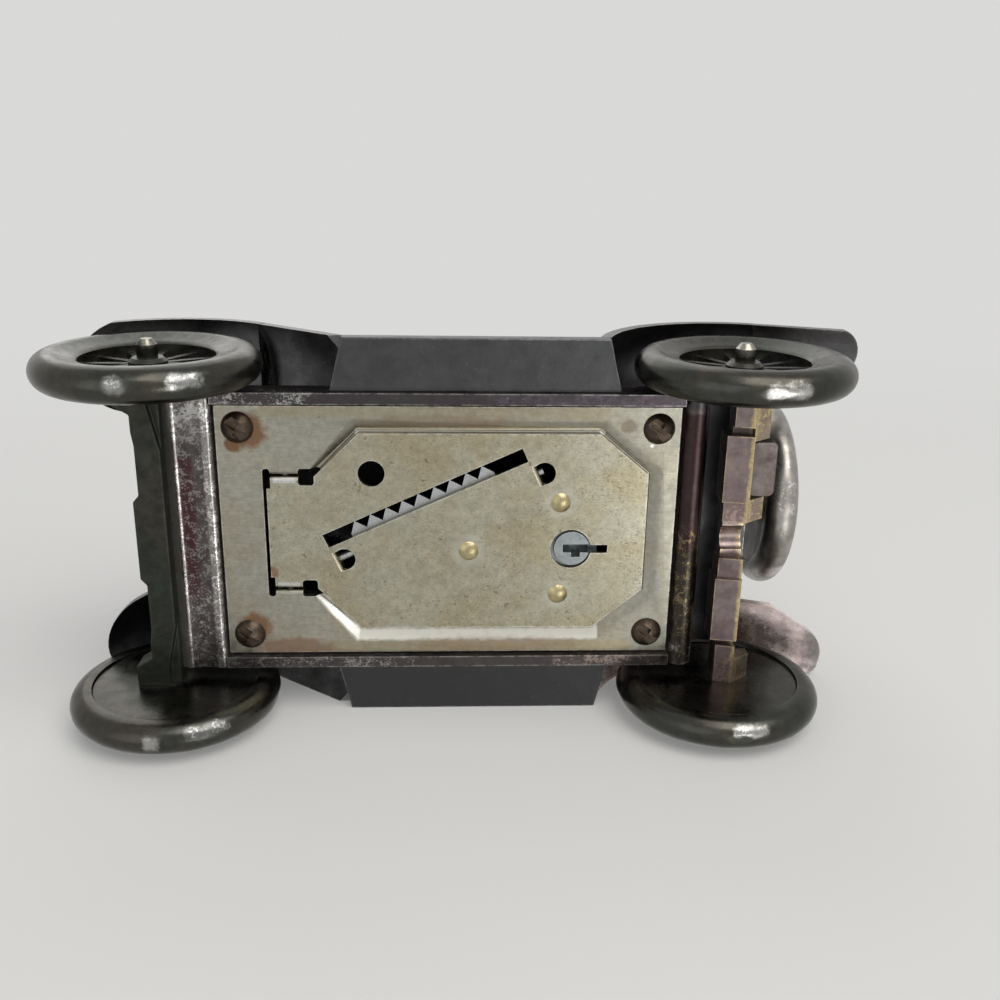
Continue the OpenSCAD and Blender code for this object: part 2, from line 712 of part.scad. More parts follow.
// Front wing: over the wheel and straight down to the running board, with a rounded tip
module front_wing() difference() {
    side = 0.4;
    intersection() {
        wing_strip(axle_x - front_wing_back, front_wing_z, front_wing_r, skirt_y, front_crown,
            front_start, front_end, 26);
        linear_extrude(60) polygon(concat([[0, skirt_y - past], [nose_x, skirt_y - past]],
            arc(wing_tip - tip_r, wing_out + side - tip_r, tip_r, -70, 90, 20),
            [[0, wing_out + side]]));
    }
    wing_clear();
}

// Rear wing: up from the running board, over the wheel and back in a straight tail
module rear_wing() difference() {
    y0 = side_y - 2.5;
    slant = 33;
    side = 0.4;
    tail = arc(-wing_tail + tail_r, wing_out + side - tail_r, tail_r, 90, 270 - slant, 16);
    touch = tail[len(tail) - 1];
    intersection() {
        wing_strip(-axle_x + rear_wing_fore, rear_wing_z, rear_wing_r, y0, rear_crown,
            rear_start, rear_end, 24);
        linear_extrude(60) polygon(concat([[0, y0 - past], [0, wing_out + side]], tail,
            [[touch.x + (touch.y - y0 + past)/tan(slant), y0 - past]]));
    }
    wing_clear();
}

module front_wing_left() color(dark_metal) placed() front_wing();
module front_wing_right() color(dark_metal) placed() mirror([0, 1, 0]) front_wing();
module rear_wing_left() color(bronze_metal) placed() rear_wing();
module rear_wing_right() color(bronze_metal) placed() mirror([0, 1, 0]) rear_wing();

// Running board with bevelled ends and tread grooves
module running_board() difference() {
    bevel = 2;
    translate([0, 0, board_z]) linear_extrude(board_t)
        polygon([[-board_back, ring_y], [board_front, ring_y], [board_front - bevel, wing_out],
            [-board_back + bevel, wing_out]]);
    for (i = [0:4]) translate([-board_back + 3, ring_y + 1.6 + i*1.25, board_top - 0.3])
        cube([board_back + board_front - 7, 0.5, 1]);
}

module running_board_left() color(dark_metal) placed() running_board();
module running_board_right() color(dark_metal) placed() mirror([0, 1, 0]) running_board();

// Wheel drawn round Z with its outer face upwards and the middle of its tyre at Z = 0
module wheel_solid() {
    mid_r = tyre_r - tyre_h/2;
    rim_r = tyre_r - tyre_h - rim_w + 0.6;
    back = -tyre_w/2 + 0.5;
    rotate_extrude($fn = 96) polygon(concat(
        [[0, back], [mid_r - 0.9, back]],
        [for (i = [0:18]) let (t = -105 + 210*i/18) [mid_r + tyre_h/2*cos(t), tyre_w/2*sin(t)]],
        [[tyre_r - tyre_h + 0.5, tyre_w/2 - 0.7], [rim_r + 0.5, tyre_w/2 - 0.9],
         [rim_r, tyre_w/2 - 1.3], [rim_r, back + disc_t], [hub_d/2, back + disc_t],
         [hub_d/2, back + disc_t + spoke_h + 0.4], [hub_d/2 - 0.6, back + disc_t + spoke_h + 0.9],
         [cap_d/2, back + disc_t + spoke_h + 0.9], [cap_d/2, cap_out - 0.8],
         [cap_d/2 - 0.7, cap_out], [0, cap_out]]));
    for (i = [0:spokes - 1]) rotate([0, 0, 360*i/spokes])
        translate([hub_d/2 - 0.3, -spoke_w/2, back + disc_t - 0.2])
            cube([rim_r - hub_d/2 + 0.6, spoke_w, spoke_h + 0.2]);
}

// Wheel on the ground, with the worn flat under its tyre; side is 1 on the left, -1 on the right
module road_wheel(x, side) placed() difference() {
    translate([x, side*wheel_y, axle_z]) rotate([-90*side, 0, 0]) wheel_solid();
    translate([x, side*wheel_y, -5]) cube([40, 20, 10], center = true);
}

module wheel_front_left() color(tyre_metal) road_wheel(axle_x, 1);
module wheel_front_right() color(tyre_metal) road_wheel(axle_x, -1);
module wheel_rear_left() color(tyre_metal) road_wheel(-axle_x, 1);
module wheel_rear_right() color(tyre_metal) road_wheel(-axle_x, -1);

// Spare wheel and its boss behind the cabin
module spare_wheel() color(tyre_metal) placed() {
    x = -cabin_back - spare_gap - tyre_w/2;
    translate([x, 0, spare_z]) rotate([0, -90, 0]) wheel_solid();
    translate([x + tyre_w/2 - 0.6, 0, spare_z]) rotate([0, 90, 0])
        cylinder(d = 11, h = spare_gap + 0.6);
}

// Half of the front axle seen from below: a proud middle, a neck and a flared end
function front_axle_half(y1) = let (
    proud = 0.9,
    end = 0.3,
    flare = 2.8
) [[0, 0], [axle_l + proud, 0], [axle_l + proud, middle_y], [axle_l, middle_y + 1],
    [axle_l, middle_y + 8.6], [axle_l + end, y1 - 7.4], [axle_l + end, y1 - 4.9],
    [axle_l + flare, y1 - 3.4], [axle_l + flare, y1], [0, y1]];

// Front axle: a beam between the wheels' discs, with chamfered ends, under two hangers
module front_axle() color(dark_metal) placed() {
    disc_y = wheel_y - tyre_w/2 + 0.5;
    z0 = axle_z - axle_h/2;
    pad = [0.6, 9];
    chamfer = [[-past, disc_y - 10.4], [0, disc_y - 10.4], [1.5, disc_y - 3.4], [1.5, disc_y + past],
        [-past, disc_y + past]];
    translate([ring_front, 0, 0]) {
        difference() {
            both_sides() translate([0, 0, z0]) linear_extrude(axle_h) polygon(front_axle_half(disc_y));
            both_sides() translate([0, 0, z0 - past]) linear_extrude(past + 1.1) polygon(chamfer);
        }
        both_sides() translate([pad.x, pad.y, z0 + axle_h])
            cube([nose_over - pad.x, 5, deck_z - z0 - axle_h]);
    }
}

// Block of the rear axle across the car between y0 and y1, its underside falling to a ridge
module rear_block(y0, y1, front, drop) {
    z0 = axle_z - axle_h/2 - drop;
    translate([-rear_beam_x, y1, 0]) round_y() linear_extrude(y1 - y0)
        polygon([[front, z0 + 0.5], [0.1 - rear_axle_l, z0 - 0.3], [-rear_axle_l, z0],
            [-rear_axle_l, axle_z + axle_h/2], [front, axle_z + axle_h/2]]);
}

// Slope behind the rear axle's ridge between y0 and y1
module rear_slope(y0, y1) {
    z0 = axle_z - axle_h/2;
    translate([-rear_beam_x - rear_axle_l, y1, 0]) round_y() linear_extrude(y1 - y0)
        polygon([[0, z0 - 0.1], [-rear_slope_l, z0 + 2.1], [-rear_slope_l, axle_z + axle_h/2],
            [0, axle_z + axle_h/2]]);
}

// Rear axle: stepped blocks each side of a notch, slopes behind them beside the bracket and at
// the right wheel, and hangers up to the floor
module rear_axle() color(bronze_metal) placed() difference() {
    disc_y = wheel_y - tyre_w/2 + 0.5;
    step_y = [3, 6.3, 16.8, 18];
    right_y = 20.4;
    bridge_y = step_y[0] + 0.1;
    union() {
        both_sides() {
            rear_block(step_y[0], step_y[1], 0.4, 0);
            rear_block(step_y[1], step_y[2], 0.8, 0.5);
            rear_block(step_y[2], step_y[3], -0.4, -1.4);
            rear_block(step_y[3], disc_y, -0.3, 0);
            translate([-rear_beam_x - rear_axle_l, hanger_y[0], axle_z])
                cube([rear_axle_l - 0.8, hanger_y[1] - hanger_y[0], deck_z - axle_z]);
        }
        rear_slope(step_y[0], bracket_y[0] - 0.3);
        rear_slope(bracket_y[1] + 0.3, disc_y);
        mirror([0, 1, 0]) rear_slope(right_y, disc_y);
        translate([-rear_beam_x - rear_axle_l, -bridge_y, axle_z - 0.4])
            cube([rear_axle_l, 2*bridge_y, axle_h/2 + 0.4]);
    }
    translate([-rear_beam_x - far/2, 0, axle_z - 1.6]) rotate([0, 90, 0]) cylinder(d = 4.6, h = far);
}

// Bracket plate behind the rear axle on the left, on a foot that reaches the axle's hanger
module rear_bracket() color(bronze_metal) placed() {
    z0 = axle_z - 1;
    reach = 4.1;
    foot_h = 2;
    upright_y = bracket_y[0] + 2;
    translate([-rear_beam_x - rear_axle_l - reach, 0, 0]) {
        translate([0, bracket_y[0], z0]) linear_extrude(1.6)
            rounded(reach, bracket_y[1] - bracket_y[0], 1);
        translate([0, upright_y, z0 + 1]) cube([1.6, 4, deck_z - z0 - foot_h - 1]);
        translate([0, upright_y, deck_z - foot_h]) cube([reach, 4, foot_h]);
    }
}

// Outline of the door's wide part, drawn larger by d all round
module door_octagon(d) {
    y = door_w/2;
    a = atan2(corner_y, corner_x);
    dx = d*tan(a/2);
    dy = d*tan(45 - a/2);
    df = d*tan(22.5);
    nose = door_front + y - neck_y;
    polygon([[door_front + df, y + d], [-door_back + corner_x - dx, y + d],
        [-door_back - d, y - corner_y + dy], [-door_back - d, -y + corner_y - dy],
        [-door_back + corner_x - dx, -y - d], [door_front + df, -y - d],
        [nose + df, -neck_y], [nose + df, neck_y]]);
}

module door_slab(d, z, h) translate([0, 0, z]) linear_extrude(h) door_octagon(d);

// Frame of the trap: a flat plate pressed down in a slope round the door, with two hinge lugs
module trap_frame() color(steel) placed() difference() {
    union() {
        difference() {
            translate([-frame_l/2, -frame_w/2, trap_z]) cube([frame_l, frame_w, frame_t]);
            door_slab(slope_w, 0, far);
        }
        hull() {
            door_slab(slope_w + frame_t, frame_in - eps, eps);
            door_slab(door_gap + frame_t, rim_in - eps, eps);
        }
        both_sides() hinge_leaf(lug_y, lug_t, trap_z);
    }
    hull() {
        door_slab(slope_w, trap_z - eps, eps);
        door_slab(door_gap, rim_out - eps, eps);
    }
    door_slab(-rim_under, 0, far);
    // Cut-out for the door's neck, with reliefs beside the lugs
    translate([door_front, -lug_y, 0])
        cube([cutout_tip - door_front, 2*lug_y, frame_in + 4]);
    both_sides() {
        for (x = [[hinge_x - ear_r - 3.4, 3.4], [hinge_x + ear_r, cutout_tip - hinge_x - ear_r]])
            translate([x[0], lug_y - past, 0]) linear_extrude(far)
                rounded(x[1], past + lug_t + 0.2, relief_r);
        translate([hinge_x - ear_r, lug_y, trap_z]) fold_corner(ear_l);
    }
    for (sx = [-1, 1], sy = [-1, 1]) translate([sx*screw_x, sy*screw_y, 0])
        cylinder(d = screw_d + 4*fit, h = far);
    hinge_bore(fit/2);
}

// What a fold takes off the outer corner of a sheet for a length l along X; the sheet lies
// towards +Y and its leaf stands up
module fold_corner(l) rotate([90, 0, 90]) linear_extrude(l)
    polygon(concat([[-past, -past], [fold_r, -past]], arc(fold_r, fold_r, fold_r, 270, 180, 6),
        [[-past, fold_r]]));

// Bent leaf of the hinge: upright, with a round end about the pin
module hinge_leaf(y, t, z0) translate([hinge_x, y + t, 0]) round_y() linear_extrude(t) {
    translate([-ear_r, z0]) square([ear_l, hinge_z - z0]);
    intersection() {
        translate([0, hinge_z]) circle(r = ear_r);
        translate([-ear_r, hinge_z]) square([ear_l, ear_r]);
    }
}

module hinge_bore(clear) translate([hinge_x, far/2, hinge_z]) round_y()
    cylinder(d = pin_d + 2*clear, h = far);

// Screws of the trap frame: round one-way heads with opposed ramps
module frame_screws() color(screw_steel) placed()
    for (sx = [-1, 1], sy = [-1, 1]) translate([sx*screw_x, sy*screw_y, trap_z]) difference() {
        union() {
            intersection() {
                translate([0, 0, screw_dome_r() - screw_head_h]) sphere(r = screw_dome_r());
                translate([0, 0, -screw_head_h]) cylinder(d = screw_head_d, h = screw_head_h);
            }
            cylinder(d = screw_d, h = screw_l);
            translate([0, 0, screw_l]) cylinder(d1 = screw_d, d2 = 0.6, h = 0.6);
        }
        rotate([0, 0, 35]) {
            translate([-screw_head_d/2, -0.35, -screw_head_h - past]) cube([screw_head_d, 0.7, past + 0.8]);
            translate([0, -0.35, -screw_head_h - past]) cube([1.7, 1.5, past + 0.7]);
            translate([-1.7, -1.15, -screw_head_h - past]) cube([1.7, 1.5, past + 0.7]);
        }
    }

// Radius of the dome that gives a screw's head its height over its width
function screw_dome_r() = (pow(screw_head_d/2, 2) + pow(screw_head_h, 2))/(2*screw_head_h);

// Hinge pin through the door's ears and the frame's lugs, with peened ends
module hinge_pin() color(bright_steel) placed() {
    half = lug_y + lug_t + 0.1;
    translate([hinge_x, half, hinge_z]) round_y() cylinder(d = pin_d, h = 2*half);
    for (y = [half + pin_head_l, -half]) translate([hinge_x, y, hinge_z]) round_y()
        cylinder(d = pin_head_d, h = pin_head_l);
}

// Places a child along the slot: X along it towards the radiator, Y across it, Z up
module at_slot() translate([slot_x, slot_y, 0]) rotate([0, 0, -slot_angle]) children();

// D-shaped outline left in the door where a bearing lug is bent up along its straight side
module d_shape() intersection() {
    translate([-lug_lean, 0]) circle(d = window_d);
    translate([-window_d, -window_d/2]) square([window_d, window_d]);
}

// Bearing lug of the guard's rod, standing on the straight side of its window
module guard_lug(x) translate([x, -rod_off, rod_z]) rotate([0, 90, 0]) {
    cylinder(r = lug_r, h = guard_lug_t);
    translate([0, -lug_r, 0]) cube([rod_z - door_in + eps, 2*lug_r, guard_lug_t]);
}

// Door sheet with its neck and ears, slot, lock hole, windows and guard bearings
module trap_door() color(steel) placed() {
    difference() {
        union() {
            door_slab(0, door_out, door_t);
            translate([door_front, -neck_y, door_out])
                cube([hinge_x + ear_r - door_front, 2*neck_y, door_t]);
            translate([hinge_x, -neck_y + 1.9, door_out])
                cube([door_tip - hinge_x, 2*neck_y - 3.8, door_t]);
            both_sides() hinge_leaf(neck_y - ear_t, ear_t, door_out);
            at_slot() for (x = bearing_x) guard_lug(x);
        }
        hinge_bore(fit);
        both_sides() {
            translate([hinge_x - ear_r - 2.4, neck_y - 1.4, 0]) linear_extrude(far)
                rounded(2.4, 4, relief_r);
            translate([hinge_x - ear_r, neck_y, door_out]) mirror([0, 1, 0]) fold_corner(ear_l);
        }
        at_slot() {
            translate([-slot_l/2, -slot_w/2, 0]) cube([slot_l, slot_w, far]);
            for (x = bearing_x) {
                translate([x, -rod_off, 0]) linear_extrude(far) d_shape();
                translate([x, fold_half - rod_off, door_out]) rotate([0, 0, -90])
                    fold_corner(2*fold_half);
            }
            translate([-far, -rod_off, rod_z]) rotate([0, 90, 0])
                cylinder(d = rod_d + 2*fit, h = 2*far);
        }
        translate([door_front - 1.9, 9.7, 0]) cylinder(d = peep_d, h = far);
        translate([-lock_x, -lock_y, 0]) {
            translate([lock_hole_shift, 0, 0]) cylinder(d = lock_hole_d, h = far);
            translate([-notch_l, -keyway_w/2, 0]) cube([notch_l, keyway_w, far]);
        }
        for (p = rivet_places()) translate([p.x, p.y, 0]) cylinder(d = rivet_d, h = far);
    }
}

function lock_rivet_places() =
    [for (s = [-1, 1]) [-lock_x + rivet_x, -lock_y + s*rivet_y]];
function spring_rivet_place() = [-2.9, -2.9];
function rivet_places() = concat(lock_rivet_places(), [spring_rivet_place()]);

// Coin guard: a comb of teeth on a rod that turns in the door's two bearing lugs
module coin_guard() color(bright_steel) placed() at_slot() {
    base = tooth_in - slot_w/2;
    half = teeth*tooth_pitch/2;
    knuckle_r = rod_z - door_in - guard_lift;
    translate([comb_shift, 0, door_in + guard_lift]) linear_extrude(guard_t) {
        translate([-half, -rod_off]) square([2*half, rod_off + base]);
        for (i = [0:teeth - 1])
            polygon([[-half + i*tooth_pitch, base - eps], [-half + (i + 1)*tooth_pitch, base - eps],
                [-half + (i + 0.5)*tooth_pitch, base + tooth_h]]);
    }
    translate([comb_shift - half, -rod_off, rod_z]) rotate([0, 90, 0])
        cylinder(r = knuckle_r, h = 2*half);
    translate([-rod_rear - 0.7, -rod_off, rod_z]) rotate([0, 90, 0])
        cylinder(d = rod_d, h = rod_rear + rod_front + guard_lug_t + 1.4);
}

// Leaf spring under its rivet, bowed over the guard's rod on to the guard
module guard_spring() color(bright_steel) placed() {
    p = spring_rivet_place();
    over = rod_z + rod_d/2 + leaf_gap;
    low = door_in + guard_lift + guard_t + fit;
    translate([p.x, p.y, 0]) difference() {
        rotate([0, 0, 90 - slot_angle]) translate([0, leaf_w/2, 0]) round_y()
            linear_extrude(leaf_w) polygon([[-2, door_in], [2, door_in], [4.6, over],
                [7.8, over], [leaf_l, low], [leaf_l, low + leaf_t], [7.9, over + leaf_t],
                [4.4, over + leaf_t], [1.9, door_in + leaf_t], [-2, door_in + leaf_t]]);
        cylinder(d = rivet_d, h = far);
    }
}

// Rivet with a domed head outside and a flat head inside, through sheets up to z1
module rivet(z1) {
    r = (pow(rivet_head_d/2, 2) + pow(rivet_head_h, 2))/(2*rivet_head_h);
    intersection() {
        translate([0, 0, door_out + r - rivet_head_h]) sphere(r = r);
        translate([0, 0, door_out - rivet_head_h]) cylinder(d = rivet_head_d, h = rivet_head_h);
    }
    translate([0, 0, door_out - eps]) cylinder(d = rivet_d, h = z1 - door_out + 2*eps);
    translate([0, 0, z1]) cylinder(d = rivet_head_d - 0.4, h = rivet_head_h);
}

module guard_rivet() color(brass) placed()
    translate(concat(spring_rivet_place(), [0])) rivet(door_in + leaf_t);

module lock_rivets() color(brass) placed()
    for (p = lock_rivet_places()) translate([p.x, p.y, 0]) rivet(door_in + flange_t);

// Lock case: a flange under two rivets and a barrel with a stepped bore
module lock_case() color(bright_steel) placed() difference() {
    union() {
        for (p = lock_rivet_places()) translate([p.x, p.y, door_in])
            cylinder(d = rivet_head_d + 1.4, h = flange_t);
        translate([-lock_x + rivet_x - rivet_head_d/2 - 0.7, -lock_y - rivet_y, door_in])
            cube([rivet_head_d + 1.4, 2*rivet_y, flange_t]);
        translate([-lock_x, -lock_y, door_in]) cylinder(d = case_d, h = case_h);
    }
    translate([-lock_x, -lock_y, door_in - eps]) {
        cylinder(d = plug_d + 2*fit, h = case_h + 1);
        cylinder(d = plug_d + 2*collar_w + 2*fit, h = 1 + eps);
        translate([-notch_l - 1, -keyway_w/2 - 0.2, 0]) cube([notch_l, keyway_w + 0.4, 1.6]);
    }
    for (p = lock_rivet_places()) translate([p.x, p.y, 0]) cylinder(d = rivet_d, h = far);
}

// Turning plug with its collar, stepped keyway and a squared tail for the cam
module lock_plug() color(bright_steel) placed() translate([-lock_x, -lock_y, 0]) difference() {
    union() {
        translate([0, 0, door_out + plug_in]) cylinder(d = plug_d, h = cam_z - door_out - plug_in);
        translate([0, 0, door_in + 0.1]) cylinder(d = plug_d + 2*collar_w, h = 0.8);
        translate([-1, -1, cam_z - eps]) cube([2, 2, cam_t + 0.1]);
        translate([0, 0, cam_z + cam_t + 0.05]) cylinder(d = 3.2, h = 0.5);
    }
    translate([-plug_d, -keyway_w/2, door_out - past]) cube([plug_d + 1.4, keyway_w, case_h]);
    translate([-1.3, -keyway_w/2 - 0.75, door_out - past]) cube([1.35, 1, case_h]);
    translate([-0.6, 1.75, door_out - 0.1]) cylinder(d = 1.5, h = 0.35);
}

// Latch cam on the plug's tail: an arm with a cranked hook, turned across the car at rest
module lock_cam() color(bright_steel) placed() translate([-lock_x, -lock_y, 0]) difference() {
    rotate([0, 0, 90]) {
        translate([0, 0, cam_z]) {
            cylinder(d = cam_hub_d, h = cam_t);
            translate([0, -cam_w/2, 0]) cube([cam_l - hook_l + cam_t, cam_w, cam_t]);
        }
        translate([cam_l - hook_l, -cam_w/2, hook_z]) cube([cam_t, cam_w, cam_z - hook_z + eps]);
        translate([cam_l - hook_l, -cam_w/2, hook_z]) cube([hook_l, cam_w, cam_t]);
    }
    translate([-1 - fit/2, -1 - fit/2, 0]) cube([2 + fit, 2 + fit, far]);
}

cabin();
bonnet();
radiator();
headlamp_left();
headlamp_right();
underframe();
front_wing_left();
front_wing_right();
rear_wing_left();
rear_wing_right();
running_board_left();
running_board_right();
front_axle();
rear_axle();
rear_bracket();
wheel_front_left();
wheel_front_right();
wheel_rear_left();
wheel_rear_right();
spare_wheel();
trap_frame();
frame_screws();
hinge_pin();
trap_door();
coin_guard();
guard_spring();
guard_rivet();
lock_case();
lock_rivets();
lock_plug();
lock_cam();
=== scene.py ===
"""Finishes, soft edges, staging and camera of a cast toy-sedan coin bank with a steel trap underneath.

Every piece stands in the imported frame: metres, X towards the radiator, Y to the car's left, Z up.
Colours are linear. MM turns the millimetres of a size into metres.
"""
import logging
import math
from collections.abc import Callable
from dataclasses import dataclass
from enum import Enum

import bmesh
import bpy
import numpy as np
from mathutils import Matrix, Vector


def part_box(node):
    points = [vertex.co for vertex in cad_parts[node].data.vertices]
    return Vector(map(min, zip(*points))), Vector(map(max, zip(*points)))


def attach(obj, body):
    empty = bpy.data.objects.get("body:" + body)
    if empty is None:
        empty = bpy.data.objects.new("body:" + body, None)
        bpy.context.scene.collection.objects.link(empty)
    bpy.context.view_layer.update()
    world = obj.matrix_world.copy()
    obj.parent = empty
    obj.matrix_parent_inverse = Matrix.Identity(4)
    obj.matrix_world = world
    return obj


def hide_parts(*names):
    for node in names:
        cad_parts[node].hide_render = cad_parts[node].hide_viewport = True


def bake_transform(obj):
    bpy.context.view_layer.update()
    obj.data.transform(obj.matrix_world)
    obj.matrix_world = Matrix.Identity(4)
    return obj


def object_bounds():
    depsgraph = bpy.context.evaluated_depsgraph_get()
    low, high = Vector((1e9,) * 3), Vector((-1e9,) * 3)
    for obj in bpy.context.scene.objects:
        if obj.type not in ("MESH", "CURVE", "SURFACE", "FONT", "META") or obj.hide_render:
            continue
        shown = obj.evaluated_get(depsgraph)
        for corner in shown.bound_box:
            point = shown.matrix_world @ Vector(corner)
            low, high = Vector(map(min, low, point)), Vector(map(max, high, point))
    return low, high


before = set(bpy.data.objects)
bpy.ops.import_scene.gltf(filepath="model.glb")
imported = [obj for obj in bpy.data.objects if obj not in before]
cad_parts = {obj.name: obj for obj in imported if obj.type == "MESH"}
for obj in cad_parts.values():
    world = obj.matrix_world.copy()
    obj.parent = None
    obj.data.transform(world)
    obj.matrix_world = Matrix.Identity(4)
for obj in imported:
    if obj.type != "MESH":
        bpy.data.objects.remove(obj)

CAD_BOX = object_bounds()
MM = 0.001
LOG = logging.getLogger("coin_bank")

Colour = tuple[float, float, float]
Place = tuple[float, float, float]
Tree = bpy.types.NodeTree
Node = bpy.types.Node
Socket = bpy.types.NodeSocket
Value = float | Socket
Material = bpy.types.Material
Shape = bmesh.types.BMesh
Shaping = Callable[[Shape], None]

ORIGIN: Place = (0.0, 0.0, 0.0)
EVEN: Place = (1.0, 1.0, 1.0)
SILVER: Colour = (0.74, 0.73, 0.7)
GOLD: Colour = (0.66, 0.53, 0.26)
EDGE_SAMPLES = 6
MERGE_GAP = 0.002 * MM
FLAT_ANGLE = math.radians(0.6)
SHARP_ANGLE = math.radians(32.0)


class Body(str, Enum):
    """Moving bodies of the bank."""

    CASTING = "casting"
    DOOR = "door"
    GUARD = "guard"
    LOCK = "lock"


class Slot(str, Enum):
    """Material slots of the record."""

    CASTING = "casting"
    BRONZE = "casting_bronze"
    TYRE = "casting_tyre"
    TRAP = "trap_steel"
    BRIGHT = "bright_steel"
    BRASS = "rivet_brass"
    SCREW = "screw_steel"


class Graph:
    """Adds typed nodes and sums to one shader node tree."""

    def __init__(self, tree: Tree) -> None:
        """Keeps the tree that the nodes go into."""
        self.tree = tree

    def node(self, kind: str, inputs: dict[str | int, object] | None = None, **props: object) -> Node:
        """Adds a node.

        Args:
            kind: the node's type without its ShaderNode prefix.
            inputs: values or sockets by input name or number.
            props: the node's own settings.
        Returns:
            The new node.
        """
        made = self.tree.nodes.new("ShaderNode" + kind)
        for name, value in props.items():
            setattr(made, name, value)
        for key, value in (inputs or {}).items():
            self.feed(made.inputs[key], value)
        return made

    def feed(self, target: Socket, value: object) -> None:
        """Links a socket to an input, or sets the input to a value.

        Args:
            target: the input.
            value: a socket, a number, a vector or a colour.
        """
        if isinstance(value, Socket):
            self.tree.links.new(value, target)
        elif isinstance(value, tuple) and target.type == "RGBA":
            target.default_value = (*value, 1.0)
        else:
            target.default_value = value

    def math(self, kind: str, a: Value, b: Value = 0.0, clamp: bool = False) -> Socket:
        """Number worked out from two numbers; kind is the Math node's operation."""
        return self.node("Math", {0: a, 1: b}, operation=kind, use_clamp=clamp).outputs[0]

    def times(self, a: Value, b: Value) -> Socket:
        """Product of two numbers."""
        return self.math("MULTIPLY", a, b)

    def plus(self, a: Value, b: Value) -> Socket:
        """Total of two numbers."""
        return self.math("ADD", a, b)

    def minus(self, a: Value, b: Value) -> Socket:
        """First number less the second."""
        return self.math("SUBTRACT", a, b)

    def vector(self, kind: str, a: object, b: object = ORIGIN) -> Socket:
        """Vector worked out from two vectors; kind is the Vector Math node's operation."""
        return self.node("VectorMath", {0: a, 1: b}, operation=kind).outputs[0]

    def measure(self, kind: str, a: object, b: object = ORIGIN) -> Socket:
        """Number worked out from two vectors; kind is the Vector Math node's operation."""
        return self.node("VectorMath", {0: a, 1: b}, operation=kind).outputs["Value"]

    def mix(self, factor: Value, a: object, b: object) -> Socket:
        """Colour between a and b."""
        return self.node("Mix", {"Factor": factor, 6: a, 7: b}, data_type="RGBA").outputs[2]

    def tone(self, colour: Socket, shade: Socket) -> Socket:
        """Colour made lighter or darker by a number about 1."""
        grey = self.node("CombineColor", {0: shade, 1: shade, 2: shade}).outputs[0]
        return self.node("Mix", {"Factor": 1.0, 6: colour, 7: grey}, data_type="RGBA",
                         blend_type="MULTIPLY").outputs[2]

    def blend(self, factor: Value, a: Value, b: Value) -> Socket:
        """Number between a and b."""
        return self.node("Mix", {"Factor": factor, 2: a, 3: b}, data_type="FLOAT").outputs[0]

    def step(self, value: Value, low: Value, high: Value, start: float = 0.0, end: float = 1.0) -> Socket:
        """Smooth step of value from low to high, mapped on start to end."""
        inputs = {"Value": value, "From Min": low, "From Max": high, "To Min": start, "To Max": end}
        return self.node("MapRange", inputs, interpolation_type="SMOOTHSTEP").outputs[0]

    def noise(self, vector: Socket, size: Value, detail: float = 3.0, rough: float = 0.55,
              warp: float = 0.0) -> Socket:
        """Adds a noise.

        Args:
            vector: where the noise is read.
            size: about how far across its lumps are, in the vector's unit.
            detail: how many finer layers it has.
            rough: how strong the finer layers are.
            warp: how far it is bent.
        Returns:
            The noise, from 0 to 1.
        """
        scale = self.math("DIVIDE", 1.0, size) if isinstance(size, Socket) else 1.0 / size
        inputs = {"Vector": vector, "Scale": scale, "Detail": detail, "Roughness": rough, "Distortion": warp}
        return self.node("TexNoise", inputs).outputs["Fac"]

    def use(self, group: Tree, at: Socket, **inputs: Value | Place) -> dict[str, Socket]:
        """Places a node group.

        Args:
            group: the group.
            at: object coordinates.
            inputs: the group's other inputs by name.
        Returns:
            The group's outputs by name.
        """
        placed = self.node("Group", {"Vector": at, **inputs}, node_tree=group)
        return {out.name: out for out in placed.outputs}

    def surface(self, colour: Socket, dullness: Socket, metal: Socket, height: Socket, depth: float) -> None:
        """Adds the shader with its bump and the material's output.

        Args:
            colour: the base colour.
            dullness: the roughness.
            metal: how metallic it is.
            height: the relief's height.
            depth: the relief's depth in metres.
        """
        bump = self.node("Bump", {"Strength": 1.0, "Distance": depth, "Height": height}).outputs[0]
        inputs = {"Base Color": colour, "Roughness": dullness, "Metallic": metal, "Normal": bump}
        shader = self.node("BsdfPrincipled", inputs).outputs[0]
        self.node("OutputMaterial", {"Surface": shader})


def new_group(name: str, takes: dict[str, float | Place], gives: tuple[str, ...]
              ) -> tuple[Graph, Socket, dict[str, Socket], Node]:
    """Starts a shader node group whose first input is the coordinates, Vector.

    Args:
        name: the group's name.
        takes: names of its other inputs, each with its default.
        gives: names of its outputs, which are all numbers.
    Returns:
        The graph, the coordinates, the other inputs' sockets by name and the output node.
    """
    tree = bpy.data.node_groups.new(name, "ShaderNodeTree")
    for key, value in ({"Vector": ORIGIN} | takes).items():
        kind = "NodeSocketVector" if isinstance(value, tuple) else "NodeSocketFloat"
        tree.interface.new_socket(name=key, in_out="INPUT", socket_type=kind).default_value = value
    for key in gives:
        tree.interface.new_socket(name=key, in_out="OUTPUT", socket_type="NodeSocketFloat")
    source = tree.nodes.new("NodeGroupInput")
    target = tree.nodes.new("NodeGroupOutput")
    take = {key: source.outputs[key] for key in takes}
    return Graph(tree), source.outputs["Vector"], take, target


